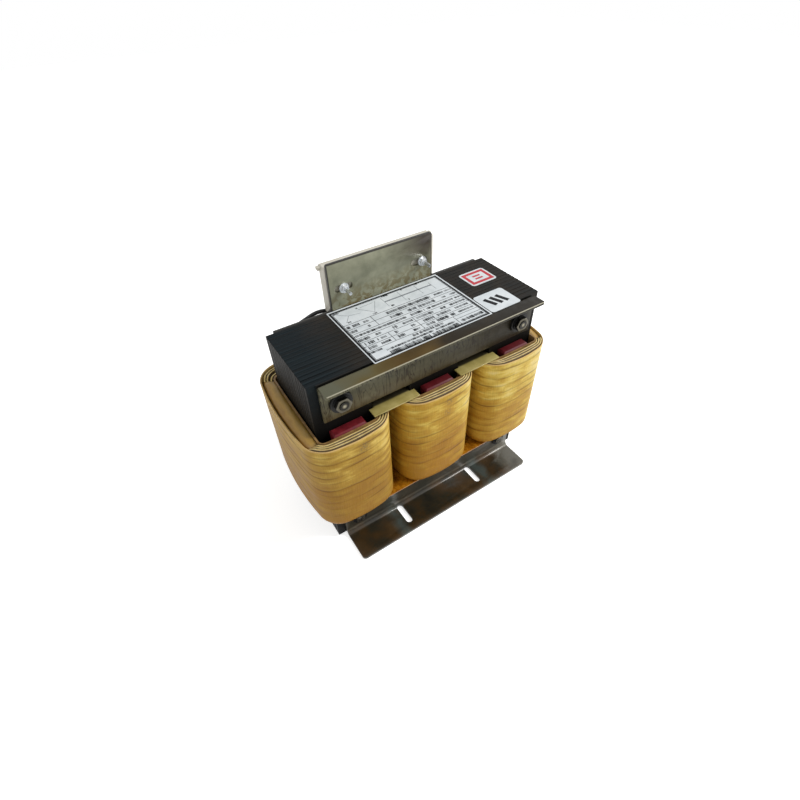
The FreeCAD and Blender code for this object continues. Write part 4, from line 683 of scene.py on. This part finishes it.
def coil_wrap(phase, centre, drop, material, seed):
    dice = Random(seed)
    top = WRAP_TOP - drop
    edge_waves = [(count, height, dice.uniform(0, 6)) for count, height in ((3, 0.22), (7, 0.14), (16, 0.08))]
    sway = dice.uniform(0, 6)
    tones = [dice.uniform(-0.5, 0.5) for band in range(len(CREASE_DROPS) + 1)]

    def lip(below):
        return lambda column: top - 0.45 - below + ripple(column, edge_waves)

    rows = [
        wrap_row(centre, 10.6, COIL_BOTTOM + 4.8, 0), wrap_row(centre, 14.6, COIL_BOTTOM + 8.8, 0),
        wrap_row(centre, 14.6, lip(7), 0, 0.1), wrap_row(centre, 14.7, lip(1.0), 0, 0.5),
        wrap_row(centre, 15.0, lip(0.25), 0, 0.9), wrap_row(centre, 15.7, lip(0.0), 0, 1.0),
        wrap_row(centre, 16.35, lip(0.2), 0, 1.0), wrap_row(centre, 16.66, lip(0.8), tones[0], 0.5),
        wrap_row(centre, 16.68, lip(1.8), tones[0], 0.0), wrap_row(centre, 16.7, lip(3.2), tones[0])]
    for number, fall in enumerate(CREASE_DROPS):
        waves = [
            (2, 1.0, sway + 0.35 * number), (5, 0.45, dice.uniform(0, 6)), (11, 0.22, dice.uniform(0, 6)),
            (23, 0.10, dice.uniform(0, 6))]
        fading = [(1, 0.22, dice.uniform(0, 6)), (4, 0.24, dice.uniform(0, 6)), (9, 0.22, dice.uniform(0, 6))]
        weight = 0.60 - 0.016 * number
        shift = dice.uniform(-0.8, 0.8)
        for up, fold, dark in FOLD:
            rows.append(wrap_row(
                centre,
                lambda column: BUILD - fold * max(0, weight + ripple(column, fading)) - 0.05,
                lambda column: top - fall + shift + up + ripple(column, waves),
                tones[number] if up > 0 else tones[number + 1],
                crease=lambda column: max(0, min(1, dark * (weight + ripple(column, fading))))))
    rows.append(wrap_row(centre, BUILD, COIL_BOTTOM + FOOT_RADIUS + 1.2, tones[-1]))
    for step in range(FOOT_STEPS):
        turn = math.pi / 2 * step / FOOT_STEPS
        depth = BUILD - FOOT_RADIUS * (1 - math.cos(turn))
        height = COIL_BOTTOM + FOOT_RADIUS * (1 - math.sin(turn))
        rows.append(wrap_row(centre, depth, height, tones[-1] - 0.3))
    rows += [
        wrap_row(centre, BUILD - FOOT_RADIUS, COIL_BOTTOM, -0.6),
        wrap_row(centre, BUILD - FOOT_RADIUS, COIL_BOTTOM + 3, -0.6)]
    piece = swept(f"{phase}_taped_wrap", rows, material, ("tone", "rim", "crease"))
    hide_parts(f"{phase}_coil_wrap")


# Winding ends: sunk between the papers at front and back, under smooth card on the long sides

WINDING_FOOT = 49.2
# depth and height of each row, from the foot inside to the foot outside
OPEN_ENDS = (
    (2.0, WINDING_FOOT), (2.0, 155.7), (3.2, 156.9), (5.5, 156.1), (7.5, 156.9), (9.5, 155.9), (11.6, 156.8),
    (13.6, 156.0), (13.9, 155.0), (13.9, WINDING_FOOT))
CARDED_ENDS = (
    (2.0, WINDING_FOOT), (1.7, 162.6), (2.4, 163.1), (4.4, 163.2), (6.8, 162.9), (9.2, 162.2), (11.6, 161.2),
    (13.2, 160.1), (13.8, 159.0), (13.9, WINDING_FOOT))


def winding_ends_piece(phase, centre, drop, seed):
    dice = Random(seed)
    rows = []
    for (open_depth, open_height), (card_depth, card_height) in zip(OPEN_ENDS, CARDED_ENDS):
        waves = [(5, 0.14, dice.uniform(0, 6)), (13, 0.10, dice.uniform(0, 6))]
        shares = [side_share(column) for column in range(COLUMNS)]
        depths = [open_depth + (card_depth - open_depth) * share for share in shares]
        heights = [open_height + (card_height - open_height) * share for share in shares]
        if open_height > WINDING_FOOT:
            heights = [height - (drop + ripple(column, waves)) for column, height in enumerate(heights)]
        rows.append({
            "points": [
                coil_point(column, depths[column], heights[column], centre) for column in range(COLUMNS)],
            "collar": shares, "depth": [depth / BUILD for depth in depths]})
    piece = swept(f"{phase}_winding_ends", rows, winding_ends, ("collar", "depth"))
    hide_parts(f"{phase}_low_voltage_winding", f"{phase}_high_voltage_winding")


# Layer papers: bundles of sheets nested round the coil, grown outwards from a guide loop by geometry nodes.
# Real sheets are about 0.1 mm thick and would not show, so each ring stands for a bundle with its gap.

def growth_tree(name, **inputs):
    """A geometry tree with named inputs of given kinds, after the geometry that it grows on."""
    tree = bpy.data.node_groups.new(name, "GeometryNodeTree")
    tree.interface.new_socket("Geometry", in_out="INPUT", socket_type="NodeSocketGeometry")
    for key, kind in inputs.items():
        tree.interface.new_socket(key.replace("_", " "), in_out="INPUT", socket_type=f"NodeSocket{kind}")
    tree.interface.new_socket("Geometry", in_out="OUTPUT", socket_type="NodeSocketGeometry")
    return tree, add(tree, "NodeGroupInput").outputs


def end_growth(tree, geometry, material):
    """Ends a tree: instances made real, and one material all over."""
    real = add(tree, "GeometryNodeRealizeInstances", {"Geometry": geometry}).outputs[0]
    done = add(tree, "GeometryNodeSetMaterial", {"Geometry": real, "Material": material}).outputs[0]
    add(tree, "NodeGroupOutput", {"Geometry": done})
    return tree


def layer_paper_tree():
    """Copies a guide loop outwards, lets each copy wander, and sweeps it into an upright sheet."""
    tree, given = growth_tree(
        "nested_layer_papers", Sheets="Int", First_Depth="Float", Depth_Step="Float", Thickness="Float",
        Height="Float", Top="Float", Wander="Float", Seed="Float", Paper="Material")
    guide = add(tree, "GeometryNodeMeshToCurve", {"Mesh": given["Geometry"]}).outputs["Curve"]
    copies = add(tree, "GeometryNodeDuplicateElements", {
        "Geometry": guide, "Amount": given["Sheets"]}, domain="SPLINE").outputs
    number = copies["Duplicate Index"]
    outward = add(tree, "GeometryNodeInputNamedAttribute", {
        "Name": "outward"}, data_type="FLOAT_VECTOR").outputs[0]
    sunk = add(tree, "GeometryNodeInputNamedAttribute", {"Name": "sunk"}, data_type="FLOAT").outputs[0]
    place = add(tree, "GeometryNodeInputPosition").outputs[0]
    stride = add(tree, "ShaderNodeMath", {0: number, 1: 7.31}, operation="MULTIPLY").outputs[0]
    phase = add(tree, "ShaderNodeMath", {0: stride, 1: given["Seed"]}, operation="ADD").outputs[0]
    wave = add(tree, "ShaderNodeTexNoise", {
        "Vector": place, "W": phase, "Scale": 1 / (26 * MM),
        "Detail": 1.0}, noise_dimensions="4D").outputs["Fac"]
    centred = add(tree, "ShaderNodeMath", {0: wave, 1: 0.5}, operation="SUBTRACT").outputs[0]
    astray = add(tree, "ShaderNodeMath", {0: centred, 1: given["Wander"]}, operation="MULTIPLY").outputs[0]
    stepped = add(tree, "ShaderNodeMath", {
        0: number, 1: given["Depth Step"], 2: given["First Depth"]}, operation="MULTIPLY_ADD").outputs[0]
    depth = add(tree, "ShaderNodeMath", {0: stepped, 1: astray}, operation="ADD").outputs[0]
    out = add(tree, "ShaderNodeVectorMath", {0: outward, "Scale": depth}, operation="SCALE").outputs[0]
    half = add(tree, "ShaderNodeMath", {
        0: given["Height"], 1: -0.5, 2: given["Top"]}, operation="MULTIPLY_ADD").outputs[0]
    uneven = add(tree, "ShaderNodeMath", {0: astray, 1: 0.7, 2: half}, operation="MULTIPLY_ADD").outputs[0]
    level = add(tree, "ShaderNodeMath", {0: sunk, 1: -7 * MM, 2: uneven}, operation="MULTIPLY_ADD").outputs[0]
    lift = add(tree, "ShaderNodeCombineXYZ", {"Z": level}).outputs[0]
    offset = add(tree, "ShaderNodeVectorMath", {0: out, 1: lift}, operation="ADD").outputs[0]
    moved = add(tree, "GeometryNodeSetPosition", {
        "Geometry": copies["Geometry"], "Offset": offset}).outputs[0]
    upright = add(tree, "GeometryNodeSetCurveNormal", {"Curve": moved}, mode="Z_UP").outputs[0]
    edge = add(tree, "GeometryNodeCurvePrimitiveQuadrilateral", {
        "Width": given["Thickness"], "Height": given["Height"]}).outputs[0]
    sheets = add(tree, "GeometryNodeCurveToMesh", {"Curve": upright, "Profile Curve": edge}).outputs[0]
    return end_growth(tree, sheets, given["Paper"])


def grown(name, base, tree, **values):
    """Runs a geometry tree on a base mesh and keeps the result as a plain piece of the object."""
    seed_piece = placed(name + "_base", base)
    growth = seed_piece.modifiers.new("growth", "NODES")
    growth.node_group = tree
    for socket in tree.interface.items_tree:
        key = socket.name.replace(" ", "_")
        if socket.in_out == "INPUT" and key in values:
            growth[socket.identifier] = values[key]
    shape = worked_out(seed_piece)
    seed_piece.modifiers.clear()
    bpy.data.objects.remove(seed_piece)
    shape.name = name
    shape.polygons.foreach_set("material_index", [0] * len(shape.polygons))
    piece = placed(name, shape)
    paint(piece, shape.materials[-1])
    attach(piece, "root")
    return piece


def layer_papers(phase, centre, drop, tree, seed):
    guide = bpy.data.meshes.new(f"{phase}_guide_loop")
    guide.from_pydata(
        [coil_point(column, 0, 0, centre) for column in range(COLUMNS)],
        [(column, (column + 1) % COLUMNS) for column in range(COLUMNS)], [])
    guide.attributes.new("outward", "FLOAT_VECTOR", "POINT")
    guide.attributes.new("sunk", "FLOAT", "POINT")
    for column in range(COLUMNS):
        step = (WRAP_LOOP[column] - TUBE_LOOP[column]) / BUILD
        guide.attributes["outward"].data[column].vector = (step.x, step.y, 0)
        guide.attributes["sunk"].data[column].value = side_share(column)
    piece = grown(
        f"{phase}_layer_papers", guide, tree, Sheets=3, First_Depth=4.0 * MM, Depth_Step=4.0 * MM,
        Thickness=1.5 * MM, Height=8 * MM, Top=(162.5 - drop) * MM, Wander=3.6 * MM, Seed=float(seed),
        Paper=sheet_paper)
    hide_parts(f"{phase}_winding_barrier")


papers = layer_paper_tree()
for number, (phase, (centre, drop)) in enumerate(COILS.items()):
    coil_wrap(phase, centre, drop, left_wrap if phase == "left" else bright_wrap, 11 + number)
    winding_ends_piece(phase, centre, drop, 21 + number)
    layer_papers(phase, centre, drop, papers, 31 + number)


# Sheet metal and mouldings: the CAD shape with its edges broken

def softened(label, material, width, segments=2, angle=32):
    """A copy of a CAD node with merged flat faces and small rounded edges, which stands for the node."""
    form = bmesh.new()
    form.from_mesh(cad[label].data)
    bmesh.ops.remove_doubles(form, verts=form.verts, dist=0.001 * MM)
    bmesh.ops.dissolve_limit(
        form, angle_limit=math.radians(1), use_dissolve_boundaries=False, verts=form.verts, edges=form.edges)
    bmesh.ops.recalc_face_normals(form, faces=form.faces)
    shape = bpy.data.meshes.new(f"soft_{label}")
    form.to_mesh(shape)
    form.free()
    shape.transform(cad[label].matrix_world)
    piece = placed(f"soft_{label}", shape)
    bevel = piece.modifiers.new("edges", "BEVEL")
    bevel.width, bevel.segments = width * MM, segments
    bevel.limit_method, bevel.angle_limit = "ANGLE", math.radians(angle)
    bevel.use_clamp_overlap = True
    rounded = worked_out(piece)
    piece.modifiers.clear()
    piece.data = rounded
    rounded.set_sharp_from_angle(angle=math.radians(40))
    paint(piece, material)
    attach(piece, "root")
    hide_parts(label)
    return piece


softened("upper_front_clamp", clamp_steel, 0.35)
softened("upper_back_clamp", plate_steel, 0.35)
softened("front_foot_bracket", foot_steel, 0.5)
softened("back_foot_bracket", foot_steel, 0.5)
softened("front_leg_wedges", red_fibre, 0.5)
softened("back_leg_wedges", red_fibre, 0.5)
softened("terminal_block", ivory_block, 0.35)
softened("clamp_nuts", bolt_steel, 0.45)
softened("upper_barrier_strips", strip_card, 0.2)

for label, material in (
        ("core_e_stack", core_steel), ("core_i_stack", core_steel),
        ("upper_clamp_insulation", black_board), ("lower_clamp_insulation", black_board),
        ("upper_clamp_bolts", bolt_steel), ("lower_clamp_bolts", dark_steel),
        ("clamp_washers", black_phenolic),
        ("insulating_collars", black_phenolic), ("bolt_sleeves", sleeve_paper),
        ("left_coil_tube", tube_card), ("middle_coil_tube", tube_card), ("right_coil_tube", tube_card),
        ("lower_barrier_sheets", floor_card), ("terminal_clamps", plated_brass), ("terminal_screws", zinc),
        ("block_screws", zinc), ("block_washers", zinc), ("block_nuts", zinc),
        ("rating_label", label_film), ("square_sticker", label_film), ("small_sticker", label_film)):
    paint(cad[label], material)


# Leads: each one smooth wire from the back of its coil up into its terminal

LEAD_DIAMETER = 3.8
TERMINAL_Y, TERMINAL_TOP = 51.9, 240.1
HIGH_LEADS = (
    ((-104, 67.3, 159.5), (-102, 66.8, 179), (-92, 63.5, 195.5), (-78, 60.4, 202.5), (-62, 60.4, 207.5),
     (-44, 58.5, 203),
     (-26, TERMINAL_Y, 202), (-26, TERMINAL_Y, TERMINAL_TOP)),
    ((-6, 67.3, 162.2), (-6.4, 66.8, 179), (-5.7, 60.3, 196), (-4, TERMINAL_Y, 211),
     (-4, TERMINAL_Y, TERMINAL_TOP)),
    ((104, 67.3, 162.2), (102, 66.8, 179), (92, 62.8, 193), (78, 59.8, 197.3), (58, 56.3, 201.5),
     (29, TERMINAL_Y, 201),
     (29, TERMINAL_Y, TERMINAL_TOP)))
LOW_LEADS = (
    ((-81, 57.8, 159.5), (-81, 58.4, 179), (-75, 58.4, 200), (-60, 57, 203), (-43, 54, 200.5),
     (-15, TERMINAL_Y, 196.7),
     (-15, TERMINAL_Y, TERMINAL_TOP)),
    ((6, 57.8, 162.2), (6.3, 58.1, 179), (5.8, 56.3, 196), (7, TERMINAL_Y, 211),
     (7, TERMINAL_Y, TERMINAL_TOP)),
    ((81, 57.8, 162.2), (80, 58.4, 178), (74, 57.8, 191), (60, 55.8, 193.8), (43, 52.7, 195.9),
     (18, TERMINAL_Y, 196.7),
     (18, TERMINAL_Y, TERMINAL_TOP)))


def lead_wires(name, routes, node):
    curve = bpy.data.curves.new(name, "CURVE")
    curve.dimensions = "3D"
    curve.resolution_u = 12
    curve.bevel_depth = LEAD_DIAMETER / 2 * MM
    curve.bevel_resolution = 4
    curve.use_fill_caps = True
    for route in routes:
        wire = curve.splines.new("NURBS")
        wire.points.add(len(route) - 1)
        for point, place in zip(wire.points, route):
            point.co = (*(Vector(place) * MM), 1)
        wire.order_u = 3
        wire.use_endpoint_u = True
    bent = placed(name, curve)
    mesh = worked_out(bent)
    bpy.data.objects.remove(bent)
    piece = placed(name, mesh)
    mesh.shade_smooth()
    paint(piece, black_vinyl)
    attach(piece, "root")
    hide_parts(node)


lead_wires("high_lead_wires", HIGH_LEADS, "high_voltage_leads")
lead_wires("low_lead_wires", LOW_LEADS, "low_voltage_leads")


# Printing: generic rules, table lines and rows of short strokes, as thin slabs of ink on the film

FILM_TOP = 214.55
INK = 0.05
STROKE_PITCH = 1.15


def slab(form, start, end, width):
    """A flat bar of ink between two points of the film, in mm."""
    start, end = Vector((*start, FILM_TOP)), Vector((*end, FILM_TOP))
    along = (end - start).normalized()
    across = Vector((-along.y, along.x, 0)) * width / 2
    corners = [start - across, end - across, end + across, start + across]
    low = [form.verts.new((corner - Vector((0, 0, 0.02))) * MM) for corner in corners]
    high = [form.verts.new((corner + Vector((0, 0, INK))) * MM) for corner in corners]
    form.faces.new(low[::-1])
    form.faces.new(high)
    for corner in range(4):
        after = (corner + 1) % 4
        form.faces.new((low[corner], low[after], high[after], high[corner]))


def frame_of(form, left, bottom, right, top, width):
    """A ruled frame whose corners are closed by its upright bars."""
    for x in (left, right):
        slab(form, (x, bottom - width / 2), (x, top + width / 2), width)
    for y in (bottom, top):
        slab(form, (left + width / 2, y), (right - width / 2, y), width)


def inked(name, form, ink):
    """A finished form of ink as a piece of its own."""
    mesh = bpy.data.meshes.new(name)
    form.to_mesh(mesh)
    form.free()
    piece = placed(name, mesh)
    paint(piece, ink)
    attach(piece, "root")


# Ruled lines of the table: x, y to x, y
TABLE = (
    ((-60.3, 14.1), (57.6, 14.1)), ((-60.3, 6.3), (57.6, 6.3)), ((-60.3, -1.4), (57.6, -1.4)), ((-60.3, -8.7),
     (57.6, -8.7)),
    ((-60.3, -15.4), (57.6, -15.4)), ((-60.3, -22.3), (57.6, -22.3)), ((-60.3, -29.0), (57.6, -29.0)),
    ((-31.4, 14.1), (-31.4, -1.4)), ((-31.4, -15.4), (-31.4, -29.0)), ((-1.9, -8.7), (-1.9, -29.0)),
    ((28.0, -33.6), (57.6, -33.6)), ((28.0, -29.0), (28.0, -42.6)))
# A plain sketch of connections in the wide top row
SKETCH = (
    ((-55.4, 33.4), (-46.9, 26.3)), ((-46.9, 26.3), (-53.3, 17.7)), ((-46.9, 26.3), (-35.4, 24.1)),
    ((-34.7, 30.6), (-24.0, 18.4)), ((-24.0, 18.4), (-15.4, 33.4)), ((-32.0, 32.0), (-18.0, 32.6)),
    ((-8.3, 34.9), (-8.3, 18.4)), ((10.3, 34.9), (10.3, 18.4)), ((29.6, 34.9), (29.6, 18.4)), ((44.6, 32.0),
     (44.6, 18.4)))
# Rows of strokes: from x, to x, y, height
ROWS = (
    (-57, -45.5, 10.0, 2.6), (-40.5, -35, 10.0, 2.2), (-17.5, 31.5, 10.0, 2.8), (36.5, 55, 10.2, 1.8),
    (-57.5, -45.5, 2.4, 2.6), (-39.7, -35, 2.4, 2.2), (-16.8, 31, 2.4, 2.8), (36, 55, 2.4, 1.8),
    (-58, -6, -5.0, 2.0), (0, 14, -5.0, 2.4), (17, 55, -5.0, 1.8),
    (-58, -47, -12.0, 2.6), (-41, -35.5, -12.0, 2.0), (-26, -19.7, -12.0, 2.8), (-13.3, -4, -12.0, 2.0),
    (1, 20.3, -12.0, 2.6),
    (25.3, 54.6, -12.0, 2.0),
    (-55.4, -46.9, -18.9, 2.8), (-43.3, -34.7, -18.9, 2.0), (-25.7, -20.4, -18.9, 2.8),
    (-9, -4.7, -18.9, 2.0),
    (3.9, 33, -18.9, 2.6), (37.4, 54.6, -18.9, 1.8),
    (-55.4, -46.9, -25.6, 2.8), (-43.3, -34.7, -25.6, 2.0), (-26.6, -20.4, -25.6, 2.8),
    (-11, -4.7, -25.6, 2.0),
    (2.4, 32.4, -25.6, 2.6), (37.4, 54.6, -25.6, 1.8),
    (-59, -47, -31.6, 1.7), (-16, 15.3, -31.6, 2.2), (-44.5, 25.5, -35.6, 1.7), (-43.5, 26.5, -40.2, 3.0),
    (31, 54, -38.0, 2.6),
    (-57.4, -52, 35.3, 1.6), (-36, -32, 33.0, 1.5), (-6, 0, 36.2, 1.6), (12, 17, 36.2, 1.6),
    (31, 35, 36.2, 1.6),
    (-6, -2, 18.0, 1.6), (13, 16, 18.0, 1.6), (31, 35, 18.0, 1.6), (-52, -48, 17.0, 1.6),
    (-27, -23, 16.2, 1.5))


def stroke_tree():
    """A small bar of ink on each point, of random width and height, with gaps where a noise is high."""
    tree, given = growth_tree(
        "rows_of_strokes", Stroke="Float", Ink_Height="Float", Word="Float", Gap_Level="Float", Seed="Int",
        Ink="Material")
    place = add(tree, "GeometryNodeInputPosition").outputs[0]
    per_metre = add(tree, "ShaderNodeMath", {0: 1.0, 1: given["Word"]}, operation="DIVIDE").outputs[0]
    words = add(tree, "ShaderNodeTexNoise", {
        "Vector": place, "Scale": per_metre, "Detail": 0.0}).outputs["Fac"]
    gap = add(tree, "FunctionNodeCompare", {
        0: words, 1: given["Gap Level"]}, operation="GREATER_THAN").outputs[0]
    kept = add(tree, "GeometryNodeDeleteGeometry", {
        "Geometry": given["Geometry"], "Selection": gap}, domain="POINT").outputs[0]
    share = add(tree, "FunctionNodeRandomValue", {"Min": 0.45, "Max": 1.25, "Seed": given["Seed"]}).outputs[1]
    wide = add(tree, "ShaderNodeMath", {0: share, 1: given["Stroke"]}, operation="MULTIPLY").outputs[0]
    tall = add(tree, "GeometryNodeInputNamedAttribute", {"Name": "size"}, data_type="FLOAT_VECTOR").outputs[0]
    letter = add(tree, "ShaderNodeSeparateXYZ", {"Vector": tall}).outputs["Y"]
    low = add(tree, "FunctionNodeRandomValue", {"Min": 1.05, "Max": 1.5, "Seed": given["Seed"]}).outputs[1]
    height = add(tree, "ShaderNodeMath", {0: letter, 1: low}, operation="MULTIPLY").outputs[0]
    size = add(tree, "ShaderNodeCombineXYZ", {"X": wide, "Y": height, "Z": given["Ink Height"]}).outputs[0]
    bar = add(tree, "GeometryNodeMeshCube").outputs["Mesh"]
    strokes = add(tree, "GeometryNodeInstanceOnPoints", {
        "Points": kept, "Instance": bar, "Scale": size}).outputs[0]
    return end_growth(tree, strokes, given["Ink"])


def label_printing():
    form = bmesh.new()
    frame_of(form, -60.1, -43.1, 57.5, 38.1, 1.9)
    frame_of(form, -58.6, -41.6, 56.0, 36.6, 0.5)
    for start, end in TABLE:
        slab(form, start, end, 0.45)
    inked("label_ruling", form, black_ink)
    form = bmesh.new()
    for start, end in SKETCH:
        slab(form, start, end, 0.4)
    slab(form, (-8.3, 27.0), (44.6, 27.0), 1.8)
    inked("label_sketch", form, grey_ink)
    places, sizes = [], []
    for start, end, y, height in ROWS:
        for step in range(int((end - start) / STROKE_PITCH) + 1):
            places.append(Vector((start + STROKE_PITCH * step, y, FILM_TOP + INK / 2)) * MM)
            sizes.append(Vector((0, height, 0)) * MM)
    points = bpy.data.meshes.new("stroke_places")
    points.from_pydata(places, [], [])
    points.attributes.new("size", "FLOAT_VECTOR", "POINT")
    for number, size in enumerate(sizes):
        points.attributes["size"].data[number].vector = size
    piece = grown(
        "label_strokes", points, stroke_tree(), Stroke=0.85 * MM, Ink_Height=INK * MM, Word=5 * MM,
        Gap_Level=0.65, Seed=5, Ink=black_ink)
    # square sticker: three plain slanted bars
    form = bmesh.new()
    for x in (70.5, 77.5, 84.5):
        slab(form, (x - 2.4, -23.6), (x + 2.4, -36.4), 4.2)
    inked("square_sticker_bars", form, black_ink)
    # small sticker: a red frame round two short bars
    form = bmesh.new()
    frame_of(form, 79.6, 3.9, 102.4, 20.9, 3.4)
    for y in (10.0, 14.8):
        slab(form, (86.5, y), (95.5, y), 2.4)
    inked("small_sticker_frame", form, red_ink)


label_printing()


# Camera, light and floor

CAMERA_PLACE = Vector((-193.3, -294.3, 446.0)) * MM
CAMERA_TURN = [math.radians(angle) for angle in (45.894, 1.609, -33.141)]
LENS = 20.686


def camera():
    data = bpy.data.cameras.new("portrait_camera")
    data.lens = LENS
    data.sensor_width = 36
    data.clip_start = 0.01
    view = placed("portrait_camera", data)
    view.location = CAMERA_PLACE
    view.rotation_euler = Euler(CAMERA_TURN)
    bpy.context.scene.camera = view


def lamp(name, place, size, power, aim=(0, 0, 0.12)):
    data = bpy.data.lights.new(name, "AREA")
    data.size = size
    data.energy = power
    light = placed(name, data)
    light.location = place
    light.rotation_euler = (Vector(aim) - light.location).to_track_quat("-Z", "Y").to_euler()


def seen_rays(tree):
    """1 for rays that show the background itself: to the camera, in a reflection or through glass."""
    rays = add(tree, "ShaderNodeLightPath").outputs
    mirrored = add(tree, "ShaderNodeMath", {
        0: rays["Is Camera Ray"], 1: rays["Is Glossy Ray"]}, operation="MAXIMUM").outputs[0]
    return add(tree, "ShaderNodeMath", {
        0: mirrored, 1: rays["Is Transmission Ray"]}, operation="MAXIMUM").outputs[0]


def surroundings():
    """A white floor under an even pale sky, with one soft key lamp and a weak fill."""
    world = bpy.data.worlds.new("studio")
    bpy.context.scene.world = world
    world.use_nodes = True
    tree = world.node_tree
    background = tree.nodes["Background"]
    background.inputs["Color"].default_value = linear("#ffffff")
    background.inputs["Strength"].default_value = 0.38
    bright = add(tree, "ShaderNodeBackground", {"Color": linear("#ffffff"), "Strength": 1.0})
    mix = add(tree, "ShaderNodeMixShader", {
        0: seen_rays(tree), 1: background.outputs[0], 2: bright.outputs[0]})
    tree.links.new(mix.outputs[0], tree.nodes["World Output"].inputs["Surface"])
    lamp("key", (1.25, -0.75, 1.35), 0.7, 30)
    lamp("fill", (-1.3, -0.6, 0.9), 1.0, 5.5)
    bpy.ops.mesh.primitive_plane_add(size=8)
    floor = bpy.context.object
    floor.name = "floor"
    material, tree, shader, place = new_material("white_paper_sweep", Roughness=0.9)
    shader.inputs["Base Color"].default_value = linear("#f4f4f2")
    glow = add(tree, "ShaderNodeEmission", {"Color": linear("#ffffff"), "Strength": 0.62})
    seen = add(tree, "ShaderNodeMixShader", {0: seen_rays(tree)})
    both = add(tree, "ShaderNodeAddShader", {0: shader.outputs[0], 1: glow.outputs[0]})
    tree.links.new(shader.outputs[0], seen.inputs[1])
    tree.links.new(both.outputs[0], seen.inputs[2])
    tree.links.new(seen.outputs[0], tree.nodes["Material Output"].inputs["Surface"])
    paint(floor, material)


camera()
surroundings()
